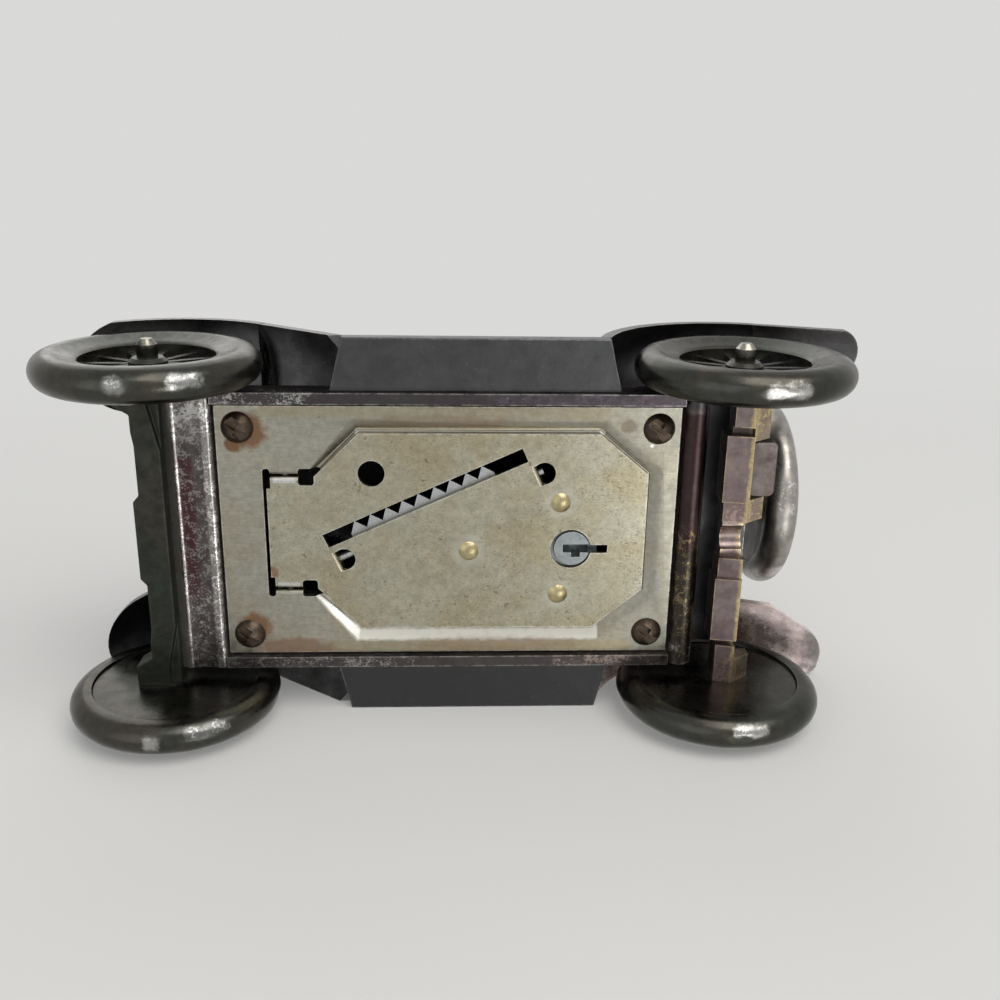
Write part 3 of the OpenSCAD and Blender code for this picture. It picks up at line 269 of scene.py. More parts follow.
class Effects:
    """The node groups that several finishes share, each built once."""

    edges: Tree
    skin: Tree
    specks: Tree
    brush: Tree
    stain: Tree
    patch: Tree

    def __init__(self) -> None:
        """Builds every group."""
        self.build_edges()
        self.build_skin()
        self.build_specks()
        self.build_brush()
        self.build_stain()
        self.build_patch()

    def build_edges(self) -> None:
        """Masks of proud edges and of crevices, from a rounded normal and the near surroundings."""
        graph, at, take, out = new_group(
            "edge_masks", {"Radius": 0.7 * MM, "Reach": 2.5 * MM, "Gain": 4.0}, ("Edge", "Crevice"))
        rounded = graph.node("Bevel", {"Radius": take["Radius"]}, samples=EDGE_SAMPLES).outputs[0]
        plain = graph.node("NewGeometry").outputs["Normal"]
        lean = graph.minus(1.0, graph.measure("DOT_PRODUCT", rounded, plain))
        around = graph.node("AmbientOcclusion", {"Distance": take["Reach"]}, samples=EDGE_SAMPLES)
        open_air = around.outputs["AO"]
        proud = graph.step(open_air, 0.55, 0.9)
        breakup = graph.step(graph.noise(at, 1.8 * MM, 5.0, 0.75), 0.4, 0.6, 0.05, 1.0)
        edge = graph.times(graph.times(lean, take["Gain"]), proud)
        graph.feed(out.inputs["Edge"], graph.math("MULTIPLY", edge, breakup, clamp=True))
        graph.feed(out.inputs["Crevice"], graph.step(open_air, 0.85, 0.35))
        self.edges = graph.tree

    def build_skin(self) -> None:
        """Height of a cast skin: slow waves, a fine grain and scattered pits."""
        graph, at, take, out = new_group(
            "cast_skin", {"Wave": 4.0 * MM, "Grain": 0.45 * MM, "Pits": 0.5}, ("Height",))
        wave = graph.noise(at, take["Wave"], 2.0, 0.5)
        grain = graph.noise(at, take["Grain"], 3.0, 0.6)
        cells = graph.node("TexVoronoi", {"Vector": at, "Scale": 1.0 / (1.7 * MM)}).outputs["Distance"]
        some = graph.step(graph.noise(at, 6.0 * MM, 2.0), 0.5, 0.62)
        pit = graph.times(graph.times(graph.step(cells, 0.16, 0.05), take["Pits"]), some)
        height = graph.plus(graph.times(wave, 1.6), graph.times(grain, 0.32))
        graph.feed(out.inputs["Height"], graph.minus(height, pit))
        self.skin = graph.tree

    def build_specks(self) -> None:
        """Mask of small round specks of many sizes, thicker in some places than in others."""
        graph, at, take, out = new_group("specks", {"Size": 0.5 * MM, "Density": 0.5}, ("Mask",))
        drift = graph.noise(at, 9.0 * MM, 3.0)
        dots = graph.noise(at, take["Size"], 2.0, 0.75)
        level = graph.minus(0.83, graph.times(take["Density"], 0.3))
        level = graph.minus(level, graph.times(drift, 0.16))
        graph.feed(out.inputs["Mask"], graph.step(dots, level, graph.plus(level, 0.06)))
        self.specks = graph.tree

    def build_brush(self) -> None:
        """Height and tone of fine rolling lines drawn out along one direction."""
        graph, at, take, out = new_group("rolled_lines", {"Stretch": EVEN, "Width": 0.16 * MM}, ("Line",))
        drawn = graph.vector("MULTIPLY", at, take["Stretch"])
        graph.feed(out.inputs["Line"], graph.noise(drawn, take["Width"], 3.0, 0.6))
        self.brush = graph.tree

    def build_stain(self) -> None:
        """Mask of one ragged stain about a centre; Stretch below 1 draws it out along an axis."""
        graph, at, take, out = new_group(
            "stain", {"Centre": ORIGIN, "Stretch": EVEN, "Radius": 2.0 * MM, "Ragged": 0.9}, ("Mask",))
        away = graph.vector("SUBTRACT", at, take["Centre"])
        away = graph.vector("MULTIPLY", away, take["Stretch"])
        far = graph.math("DIVIDE", graph.measure("LENGTH", away), take["Radius"])
        torn = graph.minus(graph.noise(at, 1.6 * MM, 5.0, 0.65), 0.5)
        far = graph.plus(far, graph.times(torn, take["Ragged"]))
        graph.feed(out.inputs["Mask"], graph.step(far, 1.0, 0.55))
        self.stain = graph.tree

    def build_patch(self) -> None:
        """Mask of a ragged box with round corners: how far past its half sizes; Broken makes it specks."""
        graph, at, take, out = new_group(
            "ragged_patch",
            {"Centre": ORIGIN, "Half": (MM, MM, MM), "Soft": MM, "Broken": 0.0, "Grain": 0.5 * MM}, ("Mask",))
        away = graph.vector("ABSOLUTE", graph.vector("SUBTRACT", at, take["Centre"]))
        over = graph.vector("MAXIMUM", graph.vector("SUBTRACT", away, take["Half"]))
        past = graph.math("DIVIDE", graph.measure("LENGTH", over), take["Soft"])
        torn = graph.minus(graph.noise(at, 1.5 * MM, 4.0, 0.65), 0.5)
        body = graph.step(graph.plus(past, graph.times(torn, 1.6)), 1.0, 0.0)
        fine = graph.noise(at, take["Grain"], 4.0, 0.72)
        drift = graph.noise(at, graph.times(take["Grain"], 5.0), 3.0, 0.6, 0.5)
        fine = graph.plus(fine, graph.times(graph.minus(drift, 0.5), 0.9))
        kept = graph.blend(take["Broken"], 1.0, graph.step(fine, 0.54, 0.62))
        graph.feed(out.inputs["Mask"], graph.times(body, kept))
        self.patch = graph.tree


EFFECTS = Effects()


def clear_nodes(owner: Material | bpy.types.World) -> Graph:
    """Empties the node tree of a material or a world.

    Args:
        owner: the material or world.
    Returns:
        Its empty graph.
    """
    owner.use_nodes = True
    owner.node_tree.nodes.clear()
    return Graph(owner.node_tree)


def new_material(name: str) -> tuple[Material, Graph, Socket]:
    """Starts a material.

    Args:
        name: the material's name.
    Returns:
        The material, its graph and the object coordinates in metres.
    """
    made = bpy.data.materials.new(name)
    graph = clear_nodes(made)
    return made, graph, graph.node("TexCoord").outputs["Object"]


@dataclass(frozen=True)
class Stain:
    """One ragged stain on a sheet: where it is, how far it reaches and how it is drawn out, in metres.

    It is rust, or clean metal of the colour clean.
    """

    centre: Place
    radius: float
    stretch: Place = EVEN
    strength: float = 1.0
    ragged: float = 0.9
    clean: Colour | None = None

    def mask(self, graph: Graph, at: Socket) -> Socket:
        """Mask of the stain at the object coordinates."""
        group = graph.use(EFFECTS.stain, at, Centre=self.centre, Stretch=self.stretch,
                          Radius=self.radius, Ragged=self.ragged)
        return graph.times(group["Mask"], self.strength)


@dataclass(frozen=True)
class Patch:
    """A ragged box of its own colour on a surface: middle and half sizes in mm, and how broken it is."""

    centre: Place
    half: Place
    colour: Colour
    strength: float = 0.9
    broken: float = 0.0
    soft: float = 1.0
    grain: float = 0.5
    rough: float = 0.28

    def lay(self, graph: Graph, at: Socket, colour: Socket, dullness: Socket) -> tuple[Socket, Socket]:
        """Lays the patch over a colour and a roughness.

        Args:
            graph: the material's graph.
            at: object coordinates.
            colour: the colour below.
            dullness: the roughness below.
        Returns:
            The new colour and roughness.
        """
        centre, half = (tuple(size * MM for size in sizes) for sizes in (self.centre, self.half))
        group = graph.use(EFFECTS.patch, at, Centre=centre, Half=half, Soft=self.soft * MM,
                          Broken=self.broken, Grain=self.grain * MM)
        mask = graph.times(group["Mask"], self.strength)
        return graph.mix(mask, colour, self.colour), graph.blend(mask, dullness, self.rough)


@dataclass(frozen=True)
class CastFinish:
    """Dark plated white metal: blotched, rubbed bright on proud edges and dull in the crevices."""

    name: str
    base: Colour
    tint: Colour
    worn: Colour
    dull: Colour
    tint_share: float = 0.6
    wear: float = 0.8
    flecks: float = 0.35
    smooth: float = 0.24
    rough: float = 0.44
    skin: float = 0.05 * MM
    mottle: float = 0.3
    patches: tuple[Patch, ...] = ()
    edge_radius: float = 0.45 * MM
    blotch_size: float = 9.0 * MM
    cloud_size: float = 2.4 * MM
    gloss_size: float = 3.4 * MM
    fleck_size: float = 0.5 * MM
    zone_size: float = 7.0 * MM

    def build(self) -> Material:
        """Builds the material: tinted base, patches, darkening in the crevices, then rubbed metal.

        Returns:
            The material.
        """
        made, graph, at = new_material(self.name)
        masks = graph.use(EFFECTS.edges, at, Radius=self.edge_radius)
        blotch = graph.step(graph.noise(at, self.blotch_size, 4.0, 0.6, 0.6), 0.42, 0.62)
        colour = graph.mix(graph.times(blotch, self.tint_share), self.base, self.tint)
        cloud = graph.noise(at, self.cloud_size, 5.0, 0.7)
        colour = graph.tone(colour, graph.step(cloud, 0.25, 0.75, 1.0 - self.mottle, 1.0 + self.mottle))
        gloss = graph.noise(at, self.gloss_size, 4.0, 0.65)
        dullness = graph.step(gloss, 0.3, 0.7, self.smooth, self.rough)
        for patch in self.patches:
            colour, dullness = patch.lay(graph, at, colour, dullness)
        # Crevices found by ambient occlusion are darkened towards the dull colour, and made rougher and less
        # metallic, by an amount that varies with the cloud noise.
        crevice_darkening = graph.times(masks["Crevice"], graph.step(cloud, 0.3, 0.6, 0.2, 0.8))
        colour = graph.mix(crevice_darkening, colour, self.dull)
        fleck = graph.step(graph.noise(at, self.fleck_size, 4.0, 0.8), 0.6, 0.68)
        zone = graph.step(graph.noise(at, self.zone_size, 3.0, 0.6), 0.46, 0.66)
        rubbed = graph.times(graph.times(fleck, zone), self.flecks)
        rubbed = graph.math("MAXIMUM", rubbed, graph.times(masks["Edge"], self.wear), clamp=True)
        colour = graph.mix(rubbed, colour, self.worn)
        dullness = graph.minus(graph.plus(dullness, graph.times(crevice_darkening, 0.25)), graph.times(rubbed, 0.06))
        metal = graph.minus(1.0, graph.times(crevice_darkening, 0.7))
        graph.surface(colour, dullness, metal, graph.use(EFFECTS.skin, at)["Height"], self.skin)
        return made


@dataclass(frozen=True)
class SheetFinish:
    """Tinned sheet steel: rolling lines, brown specks, yellowed patches and rust about the screws."""

    name: str
    base: Colour
    yellowed: Colour
    speck: Colour
    yellow_share: float
    density: float
    lines: Place
    stains: tuple[Stain, ...] = ()
    patches: tuple[Patch, ...] = ()
    rust: Colour = (0.2, 0.085, 0.03)
    bare: Colour = (0.85, 0.83, 0.76)
    smooth: float = 0.3
    rough: float = 0.46
    relief: float = 0.012 * MM
    edge_radius: float = 0.35 * MM
    edge_reach: float = 1.2 * MM
    yellow_size: float = 11.0 * MM
    grain_size: float = 0.9 * MM
    gloss_size: float = 2.2 * MM
    speck_size: float = 0.32 * MM
    spot_size: float = 1.3 * MM
    rust_size: float = 0.7 * MM

    def build(self) -> Material:
        """Builds the material: tinned base, patches, specks, stains, then bare edges.

        Returns:
            The material.
        """
        made, graph, at = new_material(self.name)
        masks = graph.use(EFFECTS.edges, at, Radius=self.edge_radius, Reach=self.edge_reach)
        line = graph.use(EFFECTS.brush, at, Stretch=self.lines)["Line"]
        yellow = graph.step(graph.noise(at, self.yellow_size, 4.0, 0.6, 0.4), 0.36, 0.66)
        colour = graph.mix(graph.times(yellow, self.yellow_share), self.base, self.yellowed)
        grain = graph.step(graph.noise(at, self.grain_size, 4.0, 0.7), 0.25, 0.75, 0.86, 1.14)
        colour = graph.tone(colour, graph.times(graph.step(line, 0.25, 0.75, 0.9, 1.08), grain))
        dullness = graph.step(graph.noise(at, self.gloss_size, 3.0), 0.3, 0.7, self.smooth, self.rough)
        for patch in self.patches:
            colour, dullness = patch.lay(graph, at, colour, dullness)
        fine, spots = (
            graph.use(EFFECTS.specks, at, Size=size, Density=density)["Mask"]
            for size, density in ((self.speck_size, self.density), (self.spot_size, self.density * 0.55)))
        colour = graph.mix(graph.times(fine, 0.45), colour, self.speck)
        colour = graph.mix(graph.times(spots, 0.6), colour, self.speck)
        corroded: Value = 0.0
        for stain in self.stains:
            if stain.clean:
                colour = graph.mix(stain.mask(graph, at), colour, stain.clean)
            else:
                corroded = graph.math("MAXIMUM", corroded, stain.mask(graph, at))
        mottle = graph.step(graph.noise(at, self.rust_size, 4.0, 0.7), 0.35, 0.7)
        colour = graph.mix(corroded, colour, graph.mix(mottle, self.rust, self.speck))
        colour = graph.mix(graph.times(masks["Crevice"], 0.35), colour, self.speck)
        colour = graph.mix(graph.times(masks["Edge"], 0.8), colour, self.bare)
        dullness = graph.plus(dullness, graph.times(graph.math("MAXIMUM", corroded, fine), 0.25))
        metal = graph.minus(1.0, graph.times(corroded, 0.85))
        height = graph.plus(graph.times(line, 0.5), graph.times(fine, -0.15))
        graph.surface(colour, dullness, metal, graph.plus(height, graph.times(corroded, 0.6)), self.relief)
        return made


@dataclass(frozen=True)
class BrightFinish:
    """Small turned, stamped or plated pieces: fine lines, a little tarnish and polished edges."""

    name: str
    base: Colour
    tarnish: Colour
    worn: Colour
    tarnish_share: float = 0.5
    smooth: float = 0.25
    rough: float = 0.42
    relief: float = 0.012 * MM
    edge_radius: float = 0.25 * MM
    edge_reach: float = 0.8 * MM
    line_width: float = 0.12 * MM
    cloud_size: float = 1.1 * MM

    def build(self) -> Material:
        """Builds the material: tarnished base, then crevices and polished edges.

        Returns:
            The material.
        """
        made, graph, at = new_material(self.name)
        masks = graph.use(EFFECTS.edges, at, Radius=self.edge_radius, Reach=self.edge_reach)
        line = graph.use(EFFECTS.brush, at, Width=self.line_width)["Line"]
        cloud = graph.noise(at, self.cloud_size, 5.0, 0.7)
        share = graph.times(graph.step(cloud, 0.4, 0.68), self.tarnish_share)
        colour = graph.mix(share, self.base, self.tarnish)
        colour = graph.mix(graph.times(masks["Crevice"], 0.5), colour, self.tarnish)
        colour = graph.mix(graph.times(masks["Edge"], 0.7), colour, self.worn)
        uneven = graph.plus(graph.times(line, 0.5), graph.times(cloud, 0.5))
        dullness = graph.step(uneven, 0.3, 0.7, self.smooth, self.rough)
        metal = graph.minus(1.0, graph.times(share, 0.25))
        graph.surface(colour, dullness, metal, graph.plus(line, cloud), self.relief)
        return made


@dataclass(frozen=True)
class PressedSlope:
    """The slope pressed into a sheet round an opening, in mm.

    The sheet has a square step there. Its corners on the outer level slide outwards and those on the sunk
    level inwards, along each corner's mitre.
    """

    step: tuple[tuple[float, float], ...]
    inner: tuple[tuple[float, float], ...]
    outward: tuple[float, ...]
    inward: float
    outer_level: float
    sunk_level: float
    sunk_corners: int = 3
    corner_reach: float = 0.05
    level_reach: float = 0.03

    def press(self, shape: Shape) -> None:
        """Draws the slope out of the sheet's step.

        Args:
            shape: the merged sheet.
        """
        points = np.array([corner.co[:] for corner in shape.verts])
        for corner, place in zip(shape.verts, self.draw_out(points)):
            corner.co = place

    def draw_out(self, points: np.ndarray) -> np.ndarray:
        """Slides the step's corners: new = inner + (step - inner) * share, the same on both sides.

        Args:
            points: the sheet's vertices in metres, one to a row.
        Returns:
            The vertices with the slope drawn out.
        """
        side = np.where(points[:, 1:2] < 0.0, [1.0, -1.0], [1.0, 1.0])
        folded = points[:, :2] / MM * side
        away = np.linalg.norm(folded[:, None, :] - np.array(self.step)[None, :, :], axis=2)
        which, near = away.argmin(axis=1), away.min(axis=1) < self.corner_reach
        outer = near & (np.abs(points[:, 2] / MM - self.outer_level) < self.level_reach)
        sunk = near & (np.abs(points[:, 2] / MM - self.sunk_level) < self.level_reach)
        pulled = np.where(sunk & (which < self.sunk_corners), self.inward, 1.0)
        share = np.where(outer, np.array(self.outward)[which], pulled)
        start = np.array(self.inner)[which]
        moved = start + (np.array(self.step)[which] - start) * share[:, None]
        result = points.copy()
        result[outer | sunk, :2] = (moved * side * MM)[outer | sunk]
        return result


def merged_copy(node: str, shaping: Shaping | None) -> bpy.types.Mesh:
    """Copies a CAD node's mesh and joins the flat neighbours of its loose triangles.

    Args:
        node: the CAD node's name.
        shaping: what else is done to the copy's shape, if anything.
    Returns:
        The copy, smooth but for its real edges.
    """
    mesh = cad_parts[node].data.copy()
    mesh.name = node + "_shape"
    shape = bmesh.new()
    shape.from_mesh(mesh)
    bmesh.ops.remove_doubles(shape, verts=shape.verts, dist=MERGE_GAP)
    bmesh.ops.dissolve_degenerate(shape, edges=shape.edges, dist=MERGE_GAP)
    bmesh.ops.dissolve_limit(shape, angle_limit=FLAT_ANGLE, verts=shape.verts, edges=shape.edges)
    if shaping:
        shaping(shape)
    shape.to_mesh(mesh)
    shape.free()
    if "custom_normal" in mesh.attributes:
        mesh.attributes.remove(mesh.attributes["custom_normal"])
    mesh.polygons.foreach_set("use_smooth", np.ones(len(mesh.polygons), bool))
    mesh.set_sharp_from_angle(angle=SHARP_ANGLE)
    return mesh


def soften(node: str, body: Body | None, finish: Material, width: float,
           shaping: Shaping | None = None) -> bpy.types.Object:
    """Replaces a CAD node by a merged copy with rounded edges and a finish.

    Args:
        node: the CAD node's name.
        body: the body that carries it, or None for a piece that bends between two.
        finish: the copy's material.
        width: width of the rounding in metres, or 0 for none.
        shaping: what else is done to the copy's shape, if anything.
    Returns:
        The new piece.
    """
    mesh = merged_copy(node, shaping)
    mesh.materials.clear()
    mesh.materials.append(finish)
    piece = bpy.data.objects.new("dressed_" + node, mesh)
    bpy.context.scene.collection.objects.link(piece)
    if width:
        rounding = piece.modifiers.new("rounding", "BEVEL")
        rounding.width = width
        rounding.segments = 2
        rounding.limit_method = "ANGLE"
        rounding.angle_limit = SHARP_ANGLE
        rounding.harden_normals = True
        rounding.miter_outer = "MITER_ARC"
    piece.modifiers.new("even_shading", "WEIGHTED_NORMAL").keep_sharp = True
    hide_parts(node)
    if body:
        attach(piece, body.value)
    LOG.info("%s rides on %s", piece.name, body.value if body else "two bodies")
    return piece


@dataclass
class Casting:
    """The cast car without its wheels: body, underframe, wings, boards and axles."""

    body_round: float = 0.45 * MM
    rail_round: float = 0.45 * MM
    wing_round: float = 0.4 * MM
    trim_round: float = 0.2 * MM

    def rail_patches(self) -> tuple[Patch, ...]:
        """Wear of the underframe: a silvered front lip and ridge, a red dish, and gold at the rear.

        Returns:
            The patches.
        """
        ash: Colour = (0.42, 0.41, 0.39)
        rosy: Colour = (0.34, 0.26, 0.23)
        plum: Colour = (0.13, 0.1, 0.13)
        dim_gold: Colour = (0.3, 0.23, 0.11)
        return (
            Patch((42.8, 1.0, 16.7), (0.9, 11.0, 1.2), (0.062, 0.026, 0.032), 0.85, rough=0.25),
            Patch((41.0, 0.0, 16.7), (1.8, 23.0, 1.2), ash, 0.42, broken=1.0, grain=0.3, soft=1.4),
            Patch((41.0, -15.0, 16.7), (2.0, 6.0, 1.2), ash, 0.5, broken=0.95, grain=0.6, soft=2.0),
            Patch((41.5, 19.0, 16.7), (2.2, 2.4, 1.2), ash, 0.7, broken=0.9, grain=0.5, soft=1.6),
            Patch((38.75, 0.0, 16.7), (0.5, 23.0, 1.2), SILVER, 0.8, broken=0.75, soft=0.5, rough=0.25),
            Patch((43.6, 0.0, 16.6), (0.1, 23.0, 0.6), SILVER, 0.8, broken=0.7, soft=0.3),
            Patch((44.4, 0.0, 16.7), (0.35, 23.0, 0.5), (0.27, 0.25, 0.225), 0.8, soft=0.4, rough=0.4),
            Patch((45.05, 0.0, 17.0), (0.06, 23.0, 0.9), (0.4, 0.38, 0.36), 0.6, soft=0.2),
            Patch((0.0, 21.6, 16.9), (36.0, 1.0, 0.9), (0.05, 0.046, 0.05), 0.75, broken=0.1, rough=0.36),
            Patch((0.0, -21.4, 16.9), (36.0, 1.0, 0.9), (0.06, 0.055, 0.054), 0.7, broken=0.15, rough=0.4),
            Patch((24.0, -21.4, 17.0), (15.0, 0.8, 1.2), ash, 0.5, broken=1.0, grain=0.3, soft=1.8),
            Patch((-24.0, -21.4, 17.0), (9.0, 0.8, 1.2), rosy, 0.7, broken=0.95, grain=0.4, soft=1.6),
            Patch((31.0, 21.6, 17.0), (7.0, 0.8, 1.2), ash, 0.7, broken=1.0, grain=0.32, soft=1.8),
            Patch((-18.0, 21.6, 17.0), (14.0, 0.8, 1.2), plum, 0.6, broken=0.8, grain=0.35, soft=1.6),
            Patch((-34.5, 8.0, 17.0), (2.6, 11.0, 1.6), (0.038, 0.021, 0.022), 0.85, rough=0.3),
            Patch((-34.5, -12.0, 17.0), (2.6, 9.0, 1.6), (0.036, 0.031, 0.024), 0.85, rough=0.3),
            Patch((-34.5, -10.0, 17.0), (2.6, 10.0, 1.6), dim_gold, 0.5, broken=1.0, grain=0.3, soft=2.0),
            Patch((-36.0, -21.0, 17.0), (3.0, 1.6, 1.6), ash, 0.6, broken=0.9, grain=0.8),
        )

    def axle_patches(self) -> tuple[Patch, ...]:
        """Gold rubbed on the rear axle's ridge and on the slopes behind it."""
        return (
            Patch((-42.85, 0.0, 14.0), (0.3, 24.0, 1.2), GOLD, 0.9, broken=0.5, soft=0.5),
            Patch((-44.6, 11.0, 15.5), (1.8, 14.0, 1.6), GOLD, 0.75, broken=0.7, grain=0.6),
            Patch((-44.6, -22.0, 15.5), (1.8, 3.0, 1.6), GOLD, 0.75, broken=0.7, grain=0.6),
            Patch((-41.5, -22.5, 14.2), (2.2, 1.6, 1.0), (0.6, 0.4, 0.36), 0.6, broken=0.8),
            Patch((-41.5, 4.5, 14.2), (2.2, 1.4, 1.0), (0.6, 0.42, 0.38), 0.55, broken=0.8),
        )

    def build(self) -> None:
        """Dresses every cast node."""
        dark = CastFinish(
            "dark_casting", base=(0.072, 0.073, 0.076), tint=(0.066, 0.06, 0.063), worn=(0.5, 0.49, 0.48),
            dull=(0.07, 0.066, 0.06), tint_share=0.4, flecks=0.12, mottle=0.12, smooth=0.3, rough=0.42,
            # Painted shade: the running board and lower flank on the car's right side, which faces the rest
            # floor, are drawn darker.
            patches=(Patch((0.0, -27.0, 15.0), (32.0, 5.0, 6.0), (0.046, 0.046, 0.047), 0.9, rough=0.36),),
        ).build()
        wings = CastFinish(
            "wing_casting", base=(0.13, 0.13, 0.132), tint=(0.12, 0.108, 0.11), worn=(0.5, 0.49, 0.48),
            dull=(0.1, 0.095, 0.088), tint_share=0.4, flecks=0.15, mottle=0.15, smooth=0.28, rough=0.4,
        ).build()
        axle = CastFinish(
            "axle_casting", base=(0.036, 0.04, 0.033), tint=(0.05, 0.045, 0.038), worn=(0.34, 0.33, 0.31),
            dull=(0.03, 0.03, 0.026), wear=0.35, flecks=0.08, smooth=0.42, rough=0.6,
        ).build()
        bronze = CastFinish(
            "bronzed_casting", base=(0.25, 0.19, 0.185), tint=(0.19, 0.125, 0.135), worn=(0.7, 0.58, 0.36),
            dull=(0.08, 0.06, 0.05), tint_share=0.8, wear=0.7, flecks=0.25, smooth=0.26, rough=0.42,
        ).build()
        plate = CastFinish(
            "bracket_bronze", base=(0.17, 0.145, 0.135), tint=(0.13, 0.095, 0.095), worn=(0.6, 0.5, 0.34),
            dull=(0.07, 0.055, 0.045), tint_share=0.7, wear=0.6, flecks=0.25, smooth=0.4, rough=0.58,
        ).build()
        rear = CastFinish(
            "rubbed_bronze", base=(0.22, 0.175, 0.168), tint=(0.165, 0.115, 0.12), worn=(0.74, 0.62, 0.36),
            dull=(0.08, 0.06, 0.05), tint_share=0.8, wear=0.9, flecks=0.25, smooth=0.26, rough=0.42,
            patches=self.axle_patches(),
        ).build()
        # The rear right wing is made far paler than the other castings: partly its own bronze, partly a
        # painted reflection of the light on its underside.
        bronze_wing_painted_reflection = CastFinish(
            "bronzed_wing_painted_reflection", base=(0.85, 0.72, 0.69), tint=(0.7, 0.51, 0.51), worn=(0.9, 0.84, 0.8),
            dull=(0.2, 0.17, 0.15), tint_share=0.7, wear=0.6, flecks=0.35, smooth=0.2, rough=0.36,
            patches=(
                Patch((-62.4, -25.0, 29.0), (0.8, 8.0, 4.0), (0.2, 0.19, 0.18), 0.85, soft=3.0),
                Patch((-53.0, -31.4, 30.0), (10.0, 1.4, 6.0), (0.2, 0.19, 0.18), 0.7, soft=2.0),
            ),
        ).build()
        rails = CastFinish(
            "rail_casting", base=(0.085, 0.075, 0.073), tint=(0.075, 0.052, 0.053), worn=(0.62, 0.61, 0.58),
            dull=(0.05, 0.045, 0.04), wear=0.6, flecks=0.25, smooth=0.2, rough=0.4, skin=0.08 * MM,
            patches=self.rail_patches(),
        ).build()
        plan = {
            "cabin": (dark, Slot.CASTING, self.body_round),
            "bonnet": (dark, Slot.CASTING, self.trim_round),
            "radiator": (bronze, Slot.BRONZE, self.trim_round),
            "headlamp_left": (bronze, Slot.BRONZE, self.trim_round),
            "headlamp_right": (bronze, Slot.BRONZE, self.trim_round),
            "underframe": (rails, Slot.CASTING, self.rail_round),
            "front_wing_left": (wings, Slot.CASTING, self.wing_round),
            "front_wing_right": (wings, Slot.CASTING, self.wing_round),
            "rear_wing_left": (wings, Slot.BRONZE, self.wing_round),
            "rear_wing_right": (bronze_wing_painted_reflection, Slot.BRONZE, self.wing_round),
            "running_board_left": (dark, Slot.CASTING, self.trim_round),
            "running_board_right": (dark, Slot.CASTING, self.trim_round),
            "front_axle": (axle, Slot.CASTING, self.trim_round),
            "rear_axle": (rear, Slot.BRONZE, self.trim_round),
            "rear_bracket": (plate, Slot.BRONZE, self.trim_round),
        }
        for node, (finish, slot, width) in plan.items():
            soften(node, Body.CASTING, finish, width)


@dataclass
class Wheels:
    """Four cast wheels and the spare."""

    spoke_round: float = 0.16 * MM

    def rub_and_highlight_patches(self) -> tuple[Patch, ...]:
        """White metal rubbed bare on the treads and on the spare wheel's rim, partly painted highlights
        there, and painted highlights on the hub caps.
        """
        chalk: Colour = (0.8, 0.79, 0.76)
        return (
            # Rubbed patches on the treads, placed where highlights fall: partly bare metal, partly painted
            # highlights.
            Patch((46.5, 26.9, 0.0), (0.4, 0.1, 0.6), chalk, 0.7, broken=0.6, soft=1.5),
            Patch((37.6, 27.2, 2.4), (1.6, 0.1, 0.6), chalk, 0.85, broken=0.6, soft=1.3),
            Patch((-42.8, 26.7, 0.4), (2.4, 0.1, 0.5), chalk, 0.9, broken=0.45, soft=1.3),
            Patch((46.3, -26.3, 0.0), (0.3, 0.3, 0.5), (0.5, 0.49, 0.46), 0.8, broken=0.2, soft=1.3),
            Patch((38.5, -25.2, 2.4), (2.6, 0.1, 1.2), SILVER, 0.6, broken=0.75, soft=0.9),
            Patch((-42.5, -25.3, 0.6), (2.2, 0.1, 0.6), chalk, 0.8, broken=0.5, soft=0.9),
            Patch((-51.8, 5.6, 24.4), (1.2, 4.2, 2.0), chalk, 0.7, broken=0.9, grain=0.6),
            Patch((-52.6, -10.8, 27.5), (0.8, 0.8, 0.8), chalk, 0.8, broken=0.5),
            # Painted highlights on the two hub caps.
            Patch((45.4, 30.4, 15.5), (0.8, 0.7, 0.8), (0.42, 0.4, 0.34), 0.7, broken=0.3, soft=0.8),
            Patch((-40.8, 29.8, 14.8), (1.0, 0.8, 1.0), (0.55, 0.53, 0.47), 0.75, broken=0.3, soft=0.8),
        )

    def build(self) -> None:
        """Dresses every wheel."""
        finish = CastFinish(
            "tyre_casting", base=(0.055, 0.056, 0.05), tint=(0.075, 0.066, 0.052), worn=(0.34, 0.33, 0.3),
            dull=(0.04, 0.037, 0.032), wear=0.3, flecks=0.12, smooth=0.22, rough=0.36, skin=0.03 * MM,
            mottle=0.18, patches=self.rub_and_highlight_patches(),
        ).build()
        spare = CastFinish(
            "spare_casting", base=(0.36, 0.35, 0.325), tint=(0.3, 0.26, 0.225), worn=(0.5, 0.49, 0.46),
            dull=(0.06, 0.055, 0.05), wear=0.4, flecks=0.2, smooth=0.3, rough=0.45, skin=0.04 * MM,
            patches=self.rub_and_highlight_patches(),
        ).build()
        for node in ("wheel_front_left", "wheel_front_right", "wheel_rear_left", "wheel_rear_right"):
            soften(node, Body.CASTING, finish, self.spoke_round)
        soften("spare_wheel", Body.CASTING, spare, self.spoke_round)


